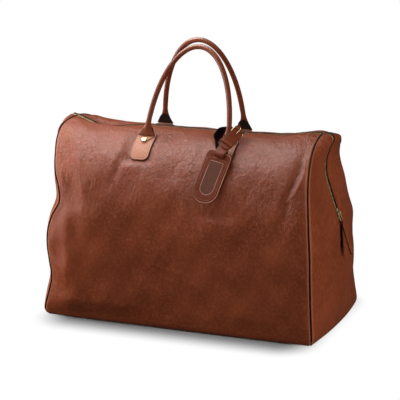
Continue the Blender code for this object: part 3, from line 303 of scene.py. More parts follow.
# Stitches at even steps along a line, each turned by the slant, its middle a quarter of the
# thread's radius above the surface
def stitchLine(line, normals, pitch=None):
    length = runLength(line)
    count = max(2, int(length[-1] / (pitch or stitch["pitch"])))
    wanted = (np.arange(count) + 0.5) * length[-1] / count
    places = readAt(line, length, wanted)
    up = unit(readAt(normals, length, wanted))
    along = unit(readAt(np.gradient(line, axis=0), length, wanted))
    along = unit(along - np.sum(along * up, axis=1, keepdims=True) * up)
    across = np.cross(up, along)
    slant = stitch["slant"]
    first = along * math.cos(slant) + across * math.sin(slant)
    second = np.cross(up, first)
    return copies(stitchBar(), places + up * stitch["radius"] * 0.25, first, second, up)


# Colours are written as sRGB hex and turned to linear here
def linear(code):
    values = [int(code[k:k + 2], 16) / 255 for k in (1, 3, 5)]
    return [v / 12.92 if v <= 0.04045 else ((v + 0.055) / 1.055) ** 2.4 for v in values] + [1.0]


# Each input takes a value, a hex colour, a socket, or a node, which means its first live output
def setInputs(tree, node, inputs):
    for name, value in inputs.items():
        if isinstance(value, bpy.types.Node):
            value = next(socket for socket in value.outputs if socket.enabled)
        if isinstance(value, bpy.types.NodeSocket):
            tree.links.new(value, node.inputs[name])
        else:
            node.inputs[name].default_value = linear(value) if isinstance(value, str) else value


def addNode(tree, kind, inputs=None, **settings):
    node = tree.nodes.new("ShaderNode" + kind)
    for name, value in settings.items():
        setattr(node, name, value)
    setInputs(tree, node, inputs or {})
    return node


# A new material's tree and shader, and places on the object in metres
def newMaterial(name):
    made = bpy.data.materials.new(name)
    made.use_nodes = True
    tree = made.node_tree
    return made, tree, tree.nodes["Principled BSDF"], addNode(tree, "TexCoord").outputs["Object"]


# Chrome or vegetable tanned cowhide. Plain hide has pebbles of about a millimetre between fine
# valleys, creases a few millimetres apart where it bends, and a wax that pools unevenly. A look
# gives its colours, each pattern's size and relief in metres, and how strongly the pattern shows.
def leatherMaterial(name, look):
    made, tree, shader, place = newMaterial(name)
    drawn = addNode(tree, "Mapping", {"Vector": place, "Scale": (1, 1, look["drawn"])})
    cloud, mottle, crease, streak = [addNode(tree, "TexNoise", {
        "Vector": where, "Scale": 1 / look[size], "Detail": detail, "Roughness": rough,
        "Distortion": bent}) for size, where, detail, rough, bent in (
            ("cloud", place, 3, 0.55, 0), ("mottle", place, 4, 0.6, 0),
            ("crease", place, 5, 0.65, 1.2), ("streak", drawn, 4, 0.6, 0.6))]
    pebble = addNode(tree, "TexVoronoi", {
        "Vector": place, "Scale": 1 / look["pebble"], "Randomness": 0.9},
        feature="DISTANCE_TO_EDGE")
    loose = addNode(tree, "MapRange", {  # drawn flat low on the bag, loose higher up
        "Value": addNode(tree, "SeparateXYZ", {"Vector": place}).outputs["Z"],
        "From Min": 0.16, "From Max": 0.29, "To Min": 0.14})
    shade = addNode(tree, "MapRange", {"Value": cloud, "From Min": 0.35, "From Max": 0.65})
    speck = addNode(tree, "MapRange", {
        "Value": mottle, "From Min": 0.45, "From Max": 0.75, "To Max": look["specks"]})
    valley = addNode(tree, "MapRange", {
        "Value": pebble, "From Max": 0.12, "To Min": look["valley"], "To Max": 0})
    # Two marks paint tones: a paler one, which is a painted highlight on the seam rounds and the
    # tag's rims and makes the handle tops paler, and the tone of the cut edges, which on the tabs
    # is partly painted shade
    wearAndHighlight, edge = [addNode(tree, "Attribute", attribute_name=mark).outputs["Fac"]
                  for mark in ("wearAndHighlight", "edge")]
    colour = look["deep"]
    for share, tone in ((shade, "main"), (speck, "pale"), (valley, "deep"), (wearAndHighlight, "paleWearAndHighlight"),
                        (edge, "cut")):
        colour = addNode(tree, "Mix", {"Factor": share, "A": colour, "B": look[tone]},
                         data_type="RGBA")
    gloss = addNode(tree, "MapRange", {
        "Value": mottle, "From Min": 0.25, "From Max": 0.75, "To Min": look["gloss"][0],
        "To Max": look["gloss"][1]})
    grain = addNode(tree, "MapRange", {"Value": pebble, "From Max": 0.22})
    bump = addNode(tree, "Bump", {
        "Height": streak, "Distance": look["streakHeight"], "Strength": loose})
    bump = addNode(tree, "Bump", {
        "Height": crease, "Distance": look["creaseHeight"], "Strength": loose, "Normal": bump})
    bump = addNode(tree, "Bump", {
        "Height": grain, "Distance": look["pebbleHeight"], "Strength": 1, "Normal": bump})
    setInputs(tree, shader, {
        "Base Color": colour, "Roughness": gloss, "Normal": bump,
        "Specular IOR Level": look["shine"]})
    return made


# Its paler rubbed tone is a painted highlight on the seam rounds, and it makes the handles' tops
# paler
hideLook = {"deep": "#622a14", "main": "#70331b", "pale": "#8a482c", "paleWearAndHighlight": "#8f5439",
            "cut": "#4a2113", "cloud": 0.11, "mottle": 0.0045, "specks": 0.7, "pebble": 0.0013,
            "crease": 0.008, "streak": 0.010, "drawn": 0.30, "valley": 0.25, "gloss": (0.30, 0.42),
            "creaseHeight": 0.0018, "streakHeight": 0.0024, "pebbleHeight": 0.00010, "shine": 0.42}
# The tabs' near black cut tone is a dark edge dye and painted shade along the tabs' edges
tabLook = dict(hideLook, deep="#80492f", main="#8e5539", pale="#a9724f", paleWearAndHighlight="#a3694a",
               cut="#2c130b", mottle=0.003, crease=0.003, creaseHeight=0.0003, streakHeight=0.0002,
               gloss=(0.42, 0.55))
trimLook = dict(hideLook, crease=0.003, creaseHeight=0.0002, streakHeight=0.0001)
bodyLeather = leatherMaterial("waxed_full_grain_cowhide", hideLook)
tabLeather = leatherMaterial("trim_cowhide_dyed_edges_painted_shade", tabLook)
tongueLeather = leatherMaterial("skived_trim_cowhide", dict(tabLook, cut="#8a5236"))
handleLeather = leatherMaterial("rolled_bridle_leather", dict(
    hideLook, deep="#52210f", main="#5f2a14", pale="#6e381f", mottle=0.006, crease=0.004,
    valley=0.1, specks=0.3, creaseHeight=0.00003, streakHeight=0.00003, pebbleHeight=0.000006,
    gloss=(0.26, 0.36), shine=0.6))
# The tag's pale rubbed tone paints highlights along its rim and round its window
tagLeather = leatherMaterial("pressed_bridle_leather", dict(
    trimLook, deep="#4e1f0f", main="#5b2613", pale="#6b321c", paleWearAndHighlight="#c29078", mottle=0.005,
    gloss=(0.32, 0.45), shine=0.15))
pullLeather = leatherMaterial("pull_strip_leather", dict(
    trimLook, deep="#652d18", main="#74371f", pale="#86482c", mottle=0.005))
# Near black piping: a dark dye, and painted shade of the seam's groove
grooveShadeWeltLeather = leatherMaterial("piping_leather_dyed_dark_with_painted_groove_shade", dict(
    trimLook, deep="#150905", main="#1d0c07", pale="#27120b", crease=0.008, gloss=(0.5, 0.65),
    shine=0.15))
# Near black leather behind the handles' feet and on the strap's inner side
blackLeather = leatherMaterial("near_black_leather", dict(
    trimLook, deep="#120c0b", main="#1a1211", pale="#241a18", paleWearAndHighlight="#2e2220", cut="#0d0908",
    crease=0.008, valley=0.1, gloss=(0.6, 0.75), creaseHeight=0.0003, shine=0.2))
windowLeather = leatherMaterial("matt_window_leather", dict(
    trimLook, deep="#432013", main="#4c2718", pale="#57301f", crease=0.008, valley=0.1,
    gloss=(0.55, 0.68), shine=0.25))


# Thread, board and rope: two tones over one pattern of fibres, which stand out by the relief.
# Threads are waxed polyester, two plies twisted about a millimetre to the turn, and their wave is
# drawn twice as long, as it would be too fine to show. Pressed board and laid rope show flecks.
def fibreMaterial(name, low, high, pattern, relief, roughness):
    made, tree, shader, place = newMaterial(name)
    kind, inputs, settings = pattern
    fibre = addNode(tree, kind, dict(inputs, Vector=place), **settings).outputs["Fac"]
    colour = addNode(tree, "Mix", {"Factor": fibre, "A": low, "B": high}, data_type="RGBA")
    bump = addNode(tree, "Bump", {"Height": fibre, "Distance": relief})
    setInputs(tree, shader, {"Base Color": colour, "Normal": bump, "Roughness": roughness})
    return made


def flecks(size):
    return "TexNoise", {"Scale": 1 / size, "Detail": 6, "Roughness": 0.7}, {}


plies = "TexWave", {"Scale": 1 / 0.0021, "Distortion": 0.5}, {"bands_direction": "DIAGONAL"}
bodyThread = fibreMaterial("waxed_brown_thread", "#6b3722", "#8a4d33", plies, 0.0001, 0.6)
tabThread = fibreMaterial("waxed_tan_thread", "#9d6446", "#b98262", plies, 0.0001, 0.6)
fibreBoard = fibreMaterial("pressed_fibre_board", "#5c5850", "#77726a", flecks(0.0015), 0.0002, 0.8)
ropeCore = fibreMaterial("laid_cotton_rope", "#b8ab90", "#d6cbb2", flecks(0.0012), 0.0002, 0.8)


# Cast and tumbled zinc or brass: a plated metal whose high spots are rubbed bright, in patches of a
# few millimetres, over the tumbling's dents of about one
def metalMaterial(name, look):
    made, tree, shader, place = newMaterial(name)
    tarnish = addNode(tree, "TexNoise", {
        "Vector": place, "Scale": 1 / look["patch"], "Detail": 4, "Roughness": 0.6})
    tone = addNode(tree, "MapRange", {"Value": tarnish, "From Min": 0.35, "From Max": 0.65})
    colour = addNode(tree, "Mix", {"Factor": tone, "A": look["dull"], "B": look["bright"]},
                     data_type="RGBA")
    gloss = addNode(tree, "MapRange", {
        "Value": tarnish, "From Min": 0.3, "From Max": 0.7, "To Min": look["gloss"][1],
        "To Max": look["gloss"][0]})
    tumbled = addNode(tree, "TexNoise", {"Vector": place, "Scale": 1 / 0.0009, "Detail": 2})
    bump = addNode(tree, "Bump", {"Height": tumbled, "Distance": 0.00003})
    setInputs(tree, shader, {
        "Base Color": colour, "Roughness": gloss, "Normal": bump, "Metallic": look["metal"]})
    return made


zipMetal = metalMaterial("antiqued_brass_zip_metal", {
    "dull": "#7d6c4c", "bright": "#b8a67c", "patch": 0.004, "gloss": (0.28, 0.45), "metal": 0.35})
studBrass = metalMaterial("polished_brass", {
    "dull": "#c9a873", "bright": "#f0dcb0", "patch": 0.006, "gloss": (0.16, 0.28), "metal": 0.85})
washerSteel = metalMaterial("nickel_plated_steel", {
    "dull": "#8d8b86", "bright": "#b5b3ad", "patch": 0.006, "gloss": (0.25, 0.4), "metal": 0.9})


# Woven cloth, warp and weft as two crossed waves, on the flat map whose units are metres or, where
# a piece has none, on its own three directions. A wave texture's turn is 0.314 of its scale.
def wovenMaterial(name, look, directions=("X", "Y"), flat=True):
    made, tree, shader, place = newMaterial(name)
    if flat:
        place = addNode(tree, "UVMap", uv_map="flat").outputs["UV"]
    warp, weft = [addNode(tree, "TexWave", {
        "Vector": place, "Scale": 0.314 / look["thread"], "Distortion": 0.4},
        bands_direction=direction).outputs["Fac"] for direction in directions]
    weave = addNode(tree, "Math", {0: warp, 1: weft}, operation="MULTIPLY")
    colour = look["deep"]
    for share in (weave, addNode(tree, "TexNoise", {"Vector": place, "Scale": 90, "Detail": 3})):
        colour = addNode(tree, "Mix", {"Factor": share, "A": colour, "B": look["main"]},
                         data_type="RGBA")
    bump = addNode(tree, "Bump", {"Height": weave, "Distance": look["thread"] * 0.25})
    setInputs(tree, shader, {
        "Base Color": colour, "Normal": bump, "Roughness": 0.85, "Sheen Weight": 0.1})
    return made


zipTape = wovenMaterial("woven_polyester_zip_tape", {
    "thread": 0.0005, "deep": "#5c4d38", "main": "#9a8a68"})
liningCloth = wovenMaterial("cotton_twill_lining", {
    "thread": 0.0007, "deep": "#57493a", "main": "#7c6b55"}, ("DIAGONAL", "Z"), flat=False)
print("materials made")


# The body: corner seams, panels and gussets as functions of their stations

body = {"length": 0.530, "depth": 0.280, "height": 0.350, "leather": 0.0018, "gap": 0.0003,
        "belly": 0.004, "ridgeLift": 0.010, "edgeRadius": 0.0024, "allowance": 0.005,
        "weltRadius": 0.0016, "slotWidth": 0.0144, "liftStartShare": 0.70, "swellPlaceShare": 0.18,
        "slotStation": 7, "runStation": (9, 12), "rowStep": 0.0030, "columns": 172,
        # The last pair: how strongly the paler painted highlight shows on the seam rounds
        "rollLines": 8, "paleWearAndHighlight": (0.45, 0.8)}
depthShares = (0.925, 0.968, 0.988, 0.994, 0.997, 1.000, 1.000, 1.000, 0.993, 0.979, 0.957,
               0.925, 0.871, 0.779, 0.643, 0.471, 0.271)
heightShares = (0.000, 0.003, 0.018, 0.050, 0.129, 0.214, 0.300, 0.386, 0.471, 0.557, 0.634,
                0.709, 0.786, 0.860, 0.926, 0.973, 0.997, 1.004)
seamShares = {
    ("front", "right"): (0.963, 0.986, 0.998, 1.000, 0.994, 0.989, 0.985, 0.981, 0.977,
                         0.968, 0.960, 0.951, 0.940, 0.928, 0.915, 0.904, 0.898, 0.891),
    ("front", "left"): (0.948, 0.976, 0.992, 0.996, 0.966, 0.940, 0.957, 0.974, 0.968,
                        0.932, 0.879, 0.891, 0.932, 0.957, 0.978, 0.981, 0.970, 0.950),
    ("rear", "right"): (0.963, 0.988, 1.002, 1.006, 0.985, 0.968, 0.962, 0.958, 0.951,
                        0.942, 0.925, 0.908, 0.892, 0.891, 0.917, 0.934, 0.926, 0.900),
    ("rear", "left"): (0.948, 0.976, 0.990, 0.992, 0.989, 0.985, 0.977, 0.966, 0.955,
                       0.940, 0.921, 0.906, 0.898, 0.913, 0.943, 0.957, 0.955, 0.945),
}
middleOutShares = {
    "right": (0.963, 1.006, 1.036, 1.046, 1.046, 1.045, 1.045, 1.038, 1.034, 1.027,
              0.994, 0.960, 0.927, 0.914, 0.934, 0.966, 0.958, 0.938),
    "left": (0.948, 0.984, 1.006, 1.011, 1.011, 1.000, 0.994, 0.996, 0.992, 0.985,
             0.966, 0.953, 0.948, 0.968, 0.992, 1.009, 1.011, 0.992),
}
middleUpShares = (0.000, 0.003, 0.018, 0.050, 0.137, 0.240, 0.337, 0.428, 0.497, 0.571,
                  0.645, 0.718, 0.791, 0.871, 0.943, 0.994, 1.023, 1.032)
# How far the left gusset swells out behind its front seam at the stations
swellShares = (0.000, 0.013, 0.020, 0.024, 0.026, 0.014, 0.008, 0.003, 0.010, 0.021, 0.026,
               0.025, 0.012, 0.002, 0.000, 0.000, 0.000, 0.000)
# Along the ridge: places, and the lift there of the zip's line and of each panel's crest beside it
ridgePlaceShares = (-1.00, -0.94, -0.86, -0.76, -0.62, -0.45, -0.20, 0.20, 0.45, 0.64, 0.79,
                    0.89, 1.00)
zipLiftShares = (0.80, 0.65, -0.15, -1.00, -0.70, -0.15, 0.00, -0.05, 0.05, 0.30, 0.95, 1.05,
                 0.90)
crestLiftShares = {
    "front": (0.75, 0.70, 0.45, 0.10, 0.05, -0.05, 0.00, -0.05, 0.05, 0.30, 0.90, 1.00, 0.85),
    "rear": (0.40, 0.20, -0.33, -0.46, -0.66, -0.70, -0.70, -0.70, -0.62, -0.35, 0.30, 0.45, 0.35)}
sideSigns = {"front": -1, "rear": 1}
endSigns = {"right": 1, "left": -1}
last = len(heightShares) - 1


# Half the bag's depth at station t; the last station is the edge of the zip's slot
def halfDepth(t):
    shares = [share * body["depth"] / 2 for share in depthShares]
    return through(shares + [body["slotWidth"] / 2], t)


# How far a corner seam stands out from the middle of the bag's length
def seamOut(side, end, t):
    return through(seamShares[side, end], t) * body["length"] / 2


# Lift of the ridge: the crest's, turning into the zip line's over the last station, times the
# power 1.5 of the share of the height above the lift's start
def ridgeLift(side, x, t):
    place = np.interp(x / (body["length"] / 2), ridgePlaceShares, np.arange(len(ridgePlaceShares)))
    crest = through(crestLiftShares[side], place)
    line = through(zipLiftShares, place)
    start = body["liftStartShare"]
    rise = np.clip((through(heightShares, t) - start) / (1 - start), 0, 1)
    lift = crest + (line - crest) * np.clip(t - (last - 1), 0, 1)
    return body["ridgeLift"] * lift * rise ** 1.5


# u runs from -1 at the left seam to 1 at the right seam, t counts the stations up to the zip. The
# belly between the seams stands out as (1 - u squared) squared times a sine wave up the height.
def panelPoint(side, u, t):
    u, t = np.broadcast_arrays(np.asarray(u, float), np.asarray(t, float))
    right = seamOut(side, "right", t)
    left = seamOut(side, "left", t)
    x = (right + left) / 2 * u + (right - left) / 2
    belly = body["belly"] * (1 - u ** 2) ** 2 * np.sin(math.pi * np.clip(t / last, 0, 1))
    y = sideSigns[side] * (halfDepth(t) + belly)
    z = through(heightShares, t) * body["height"] + ridgeLift(side, x, t)
    return stacked(x, y, z)


# The zip's line on a gusset; it is straight where the slider runs
def gussetMiddle(end, t):
    t = np.asarray(t, float)
    low, high = body["runStation"]
    found = []
    for shares, size in ((middleOutShares[end], body["length"] / 2),
                         (middleUpShares, body["height"])):
        values = np.array(shares) * size
        run = np.arange(low, high + 1)
        values[run] = values[low] + (values[high] - values[low]) * (run - low) / (high - low)
        straight = values[low] + (values[high] - values[low]) * (t - low) / (high - low)
        found.append(np.where((t >= low) & (t <= high), straight, through(values, t)))
    return endSigns[end] * found[0], found[1]


# w runs from 0 at the seam to 1 at the zip's slot: y and z follow w, x follows 1 - (1 - w) squared
def gussetPoint(end, side, w, t):
    w, t = np.broadcast_arrays(np.asarray(w, float), np.asarray(t, float))
    seam = panelPoint(side, endSigns[end], t)
    x, z = gussetMiddle(end, t)
    slot = stacked(x, sideSigns[side] * body["slotWidth"] / 2, z)
    share = w[..., None]
    place = seam + (slot - seam) * np.concatenate([1 - (1 - share) ** 2, share, share], axis=-1)
    if (side, end) == ("front", "left"):
        near = w / body["swellPlaceShare"]
        swell = through(swellShares, t) * body["length"] / 2 * near * np.exp(1 - near) * (1 - w)
        place[..., 0] += endSigns[end] * swell
    return place


# Directions from the bag's middle at half its height
def awayFromMiddle(points):
    return points - np.array([0, 0, body["height"] / 2])


# Cross product of the surface's two steps, turned to look away from the bag's middle
def surfaceNormals(surface, first, second):
    step = 0.01
    across = surface(first + step, second) - surface(first - step, second)
    along = surface(first, second + step) - surface(first, second - step)
    normal = unit(np.cross(across, along))
    flip = np.sign(np.sum(normal * awayFromMiddle(surface(first, second)), axis=-1, keepdims=True))
    return normal * np.where(flip == 0, 1, flip)


# Frames along a corner seam: place, inward direction, sideways into the panel, and how far the
# panel leans from the inward direction
def seamFrames(side, end, t):
    step = 0.02
    place = panelPoint(side, endSigns[end], t)
    ahead = panelPoint(side, endSigns[end], np.minimum(t + step, last))
    behind = panelPoint(side, endSigns[end], np.maximum(t - step, 0))
    along = unit(ahead - behind)
    frames = []
    for inside in (panelPoint(side, endSigns[end] * (1 - step), t),
                   gussetPoint(end, side, step, t)):
        into = inside - place
        into = unit(into - np.sum(into * along, axis=-1, keepdims=True) * along)
        normal = np.cross(along, into)
        flip = np.sign(np.sum(normal * awayFromMiddle(place), axis=-1, keepdims=True))
        frames.append((into, normal * flip))
    inward = -unit(frames[0][1] + frames[1][1])
    cosine = np.sum(frames[0][0] * inward, axis=-1)
    sideways = frames[0][0] - cosine[:, None] * inward
    return place, inward, unit(sideways), cosine


# The leather's edge at a corner seam: a round of the edge's radius, then the seam allowance.
# Gives its lines from the piece inwards, and how far from the seam the round begins.
def seamRoll(side, end, t, sign):
    place, inward, sideways, cosine = seamFrames(side, end, t)
    radius, gap = body["edgeRadius"], body["gap"]
    sine = np.sqrt(1 - cosine ** 2)
    centreSide = gap / 2 + radius
    centreIn = (radius + centreSide * cosine) / sine
    start = math.pi / 2 + np.arccos(cosine)
    lines = []
    for share in np.linspace(0, 1, body["rollLines"] - 1):
        angle = start + (3 * math.pi / 2 - start) * share
        lines.append((centreIn + radius * np.cos(angle), centreSide + radius * np.sin(angle)))
    allowance = body["allowance"] * np.clip(np.minimum(t / 3, (last - 1 - t) / 3), 0, 1)
    lines.append((centreIn + allowance + gap, np.full_like(t, gap / 2)))
    found = [place + inward * depth[:, None] + sign * sideways * off[:, None]
             for depth, off in lines]
    return found, centreIn * cosine + centreSide * sine


# Stations evenly spaced by length up the middle of a surface
def evenStations(surface, low, high, step, must=()):
    t = np.linspace(low, high, 600)
    length = runLength(surface(t))
    wanted = np.linspace(0, length[-1], int(length[-1] / step) + 1)
    found = np.interp(wanted, length, t)
    for station in must:  # the nearest row moves onto each of these
        found[np.argmin(np.abs(found - station))] = station
    return found


# Height of a panel along its own slope, from the base seam up
def panelRise(side, t):
    fine = np.linspace(0, last, 600)
    return np.interp(t, fine, runLength(panelPoint(side, 0, fine)))


# Soft shape of the leather, in metres out of the plain surface, as sums of rounded forms in the
# panel's own two lengths: x along the bag and the rise up its slope. A fold falls off with the
# square of the distance from its line, and towards the line's two ends as a sine wave.
def ridgeForm(x, rise, line, width):
    line = np.array(line)
    reach = runLength(line)
    nearest = np.full(x.shape, np.inf)
    share = np.zeros(x.shape)
    for k in range(len(line) - 1):
        run = line[k + 1] - line[k]
        offset = stacked(x - line[k, 0], rise - line[k, 1])
        part = np.clip(offset @ run / (run @ run), 0, 1)
        distance = np.linalg.norm(offset - part[..., None] * run, axis=-1)
        there = (reach[k] + part * (reach[k + 1] - reach[k])) / reach[-1]
        share = np.where(distance < nearest, there, share)
        nearest = np.minimum(nearest, distance)
    fade = np.sin(math.pi * np.clip(0.12 + 0.76 * share, 0, 1))
    return np.exp(-(nearest / width) ** 2) * fade


# A rounded hill or dent that falls off with the squares of the distances over its sizes
def moundForm(x, rise, centre, size):
    return np.exp(-((x - centre[0]) / size[0]) ** 2 - ((rise - centre[1]) / size[1]) ** 2)


drape = {
    "pillow": 0.0052, "pillowReach": 0.020, "shoulder": {"front": 0.0080, "rear": 0.0},
    "unevenness": 0.0008,
    "tagRest": (0.066, 0.235, 0.365, 0.034),  # centre, low, high and half width under the tag
    # points, half width and height of each fold, then centre, size and height of each mound
    "folds": {
        "front": (
            (((0.2420, 0.372), (0.2390, 0.322), (0.2282, 0.2966), (0.2150, 0.272)), 0.0058, 0.0052),
            (((0.2330, 0.370), (0.2240, 0.315), (0.2108, 0.268), (0.2060, 0.232)), 0.0090, -0.0046),
            (((-0.1130, 0.388), (-0.1100, 0.345), (-0.1174, 0.302), (-0.1290, 0.268)),
             0.0070, -0.0024),
            (((-0.1240, 0.386), (-0.1220, 0.340), (-0.1330, 0.290)), 0.0070, 0.0012),
            (((-0.2490, 0.335), (-0.2364, 0.294), (-0.2261, 0.255)), 0.0100, 0.0030),
            (((-0.2080, 0.300), (-0.1960, 0.240), (-0.1900, 0.160)), 0.0130, -0.0022),
            (((-0.2190, 0.230), (-0.2120, 0.130), (-0.2160, 0.060)), 0.0100, 0.0016)),
        "rear": (
            (((0.2300, 0.300), (0.1900, 0.240)), 0.0120, 0.0026),
            (((-0.2350, 0.320), (-0.2150, 0.290), (-0.1950, 0.235)), 0.0110, 0.0030),
            (((-0.2200, 0.330), (-0.1980, 0.290), (-0.1820, 0.240)), 0.0120, -0.0022)),
    },
    "mounds": {
        "front": (((0.2360, 0.232), (0.018, 0.022), 0.0030),
                  ((-0.1980, 0.100), (0.030, 0.080), 0.0020),
                  ((0.0300, 0.150), (0.120, 0.080), 0.0012),
                  ((0.1300, 0.060), (0.080, 0.040), 0.0012),
                  ((0.1500, 0.330), (0.060, 0.020), 0.0016)),
        "rear": (((0.0500, 0.130), (0.130, 0.070), 0.0020),
                 ((-0.1600, 0.090), (0.060, 0.050), 0.0018)),
    },
    "waves": ((0.118, 0.3, 0.2), (0.083, 1.9, 1.3), (0.061, 1.1, 2.9), (0.047, 2.6, 0.7),
              (0.036, 0.8, 4.1)),
}


# Long, low unevenness: five sine waves, each its own length, direction and start
def unevenness(x, rise):
    total = np.zeros_like(x)
    for length, direction, start in drape["waves"]:
        along = x * math.cos(direction) + rise * math.sin(direction)
        total += length / drape["waves"][0][0] * np.sin(2 * math.pi * along / length + start)
    return total * drape["unevenness"]


handle = {"span": 0.160, "centre": {"front": -0.003, "rear": -0.0187}, "rise": 0.1715,
          "radius": 0.0046, "depth": {"front": 0.066, "rear": 0.062},
          "lean": {"front": math.radians(22), "rear": math.radians(10)},
          "flareWidth": 0.031, "flareRise": 0.031, "flareThick": 0.0038, "lip": 0.0013,
          "facingRise": 0.0195, "facingRound": 0.0085, "facingOver": 0.0008,
          "facingThick": 0.0008, "stitchAside": 0.0024, "stitchPitch": 0.0042,
          "stitchStart": 0.036, "points": 150, "sides": 32}
tab = {"width": 0.035, "back": 0.013, "front": 0.053, "thick": 0.0026, "corner": 0.010,
       "line": 0.0021, "stitchIn": 0.0040}
handleEnds = {side: {end: handle["centre"][side] + sign * handle["span"] / 2
                     for end, sign in endSigns.items()} for side in sideSigns}


# The panel's u for a place along the bag
def panelShare(side, x, t):
    right = seamOut(side, "right", t)
    left = seamOut(side, "left", t)
    return (x - (right - left) / 2) / ((right + left) / 2)


# Station at a distance down a panel's slope from the line where the handle folds
def slopeStation(side, x, distance):
    t = np.linspace(last - 6, last, 241)
    line = panelPoint(side, panelShare(side, x, t), t)
    length = runLength(line)
    fold = np.interp(-handle["depth"][side], -np.abs(line[:, 1]), length)
    return np.interp(fold - np.asarray(distance, float), length, t)


# Place on a panel: x along the bag, a distance down from the handle's fold, and a height
def onPanel(side, x, distance, height):
    x, distance = np.broadcast_arrays(np.asarray(x, float), np.asarray(distance, float))
    t = slopeStation(side, float(np.mean(x)), distance)
    u = panelShare(side, x, t)
    normal = surfaceNormals(lambda a, b: panelPoint(side, a, b), u, t)
    return panelPoint(side, u, t) + normal * np.asarray(height)[..., None], normal


# 0 where something lies on the panel, 1 where the leather is free to move
def freeShare(side, x, rise):
    free = np.ones_like(x)
    places = []
    for centre in handleEnds[side].values():
        fold = float(panelRise(side, slopeStation(side, centre, 0)))
        places.append((centre, fold - tab["front"], fold + tab["back"], tab["width"] / 2))
    if side == "front":
        places.append(drape["tagRest"])
    for centre, low, high, half in places:
        aside = 1 - smoothStep(np.abs(x - centre), half + 0.002, half + 0.016)
        within = smoothStep(rise, low - 0.016, low - 0.002) * (
            1 - smoothStep(rise, high + 0.002, high + 0.012))
        free = free * (1 - aside * within)
    return free


# The whole soft shape of a panel: waves, folds and mounds, a pillow that rises from the seams and
# dies away, and a fuller left shoulder. It ends at the edges and under what lies on the panel.
def panelDrape(side, x, rise, fromSeam, fromTop):
    free = freeShare(side, x, rise)
    out = unevenness(x + (0.4 if side == "rear" else 0), rise)
    for line, width, height in drape["folds"][side]:
        out = out + height * ridgeForm(x, rise, line, width)
    for centre, size, height in drape["mounds"][side]:
        out = out + height * moundForm(x, rise, centre, size)
    out = out * smoothStep(fromSeam, 0.0, 0.014)
    out = out + (drape["pillow"] * (1 - np.exp(-fromSeam / drape["pillowReach"]))
                 * np.exp(-fromSeam / 0.11))
    out = out + (drape["shoulder"][side] * smoothStep(fromSeam, 0, 0.056)
                 * (1 - smoothStep(fromSeam, 0.08, 0.24))
                 * (x < 0) * smoothStep(fromTop, 0.03, 0.12))
    return out * free * smoothStep(fromTop, 0.004, 0.022) * smoothStep(rise, 0.012, 0.05)


# Lines up a panel: the left seam's roll, the panel and its soft shape, the right seam's roll
def panelGrid(side):
    t = evenStations(lambda v: panelPoint(side, 0, v), 0, last, body["rowStep"])
    rolls = {end: seamRoll(side, end, t, 1) for end in endSigns}
    reach = (seamOut(side, "right", t) + seamOut(side, "left", t)) / 2
    first = -1 + rolls["left"][1] / reach
    final = 1 - rolls["right"][1] / reach
    share = np.linspace(0, 1, body["columns"])[1:-1]
    u = first[:, None] + (final - first)[:, None] * share
    t2 = np.repeat(t[:, None], len(share), axis=1)
    plain = panelPoint(side, u, t2)
    normals = surfaceNormals(lambda a, b: panelPoint(side, a, np.clip(b, 0, last)), u,
                             np.clip(t2, 0.01, last - 0.01))
    rise = panelRise(side, t2)
    fromSeam = np.minimum(u - first[:, None], final[:, None] - u) * reach[:, None]
    fromTop = float(panelRise(side, last)) - rise
    out = panelDrape(side, plain[..., 0], rise, fromSeam, fromTop)
    middle = plain + normals * out[..., None]
    grid = rolls["left"][0][::-1] + list(middle.transpose(1, 0, 2)) + rolls["right"][0]
    return np.stack(grid, axis=1)


# A panel or gusset: the rounds along its seams, at the grid's first and last columns, get a paler
# tone, a painted highlight on the rolled edges
def addBodyHide(name, node, grid, kept=None):
    shape, marks = hide(grid, body["leather"], awayFromMiddle, kept)
    rows, columns = grid.shape[:2]
    lines = body["rollLines"]
    # Painted highlight on the columns of the seam rounds
    paleWearAndHighlight = np.zeros(columns)
    paleWearAndHighlight[[lines - 1, -lines]] = body["paleWearAndHighlight"][0]
    paleWearAndHighlight[[lines - 2, lines - 3, 1 - lines, 2 - lines]] = body["paleWearAndHighlight"][1]
    marks["wearAndHighlight"] = np.zeros(len(marks["edge"]))
    marks["wearAndHighlight"][:rows * columns] = np.tile(paleWearAndHighlight, rows)
    addPiece(name, shape, bodyLeather, "bag", (node,), marks=marks)


for side in sideSigns:
    addBodyHide(side + "Panel", side + "_panel", panelGrid(side))
print("panels made")

# Gussets: one hide each, slotted for the zip from the slot's station up

gusset = {"pillow": 0.0030, "pillowReach": 0.014, "columns": 44,
          # centre (y, z), size and height of each dent or mound, right then left
          "mounds": {"right": (((0.086, 0.268), (0.014, 0.020), 0.0018),
                               ((0.062, 0.052), (0.034, 0.026), -0.0050),
                               ((-0.010, 0.088), (0.040, 0.022), 0.0035),
                               ((-0.070, 0.300), (0.018, 0.030), -0.0030),
                               ((0.060, 0.235), (0.030, 0.030), 0.0030)),
                     "left": (((-0.060, 0.070), (0.034, 0.030), -0.0040),
                              ((0.050, 0.200), (0.030, 0.040), 0.0030))}}


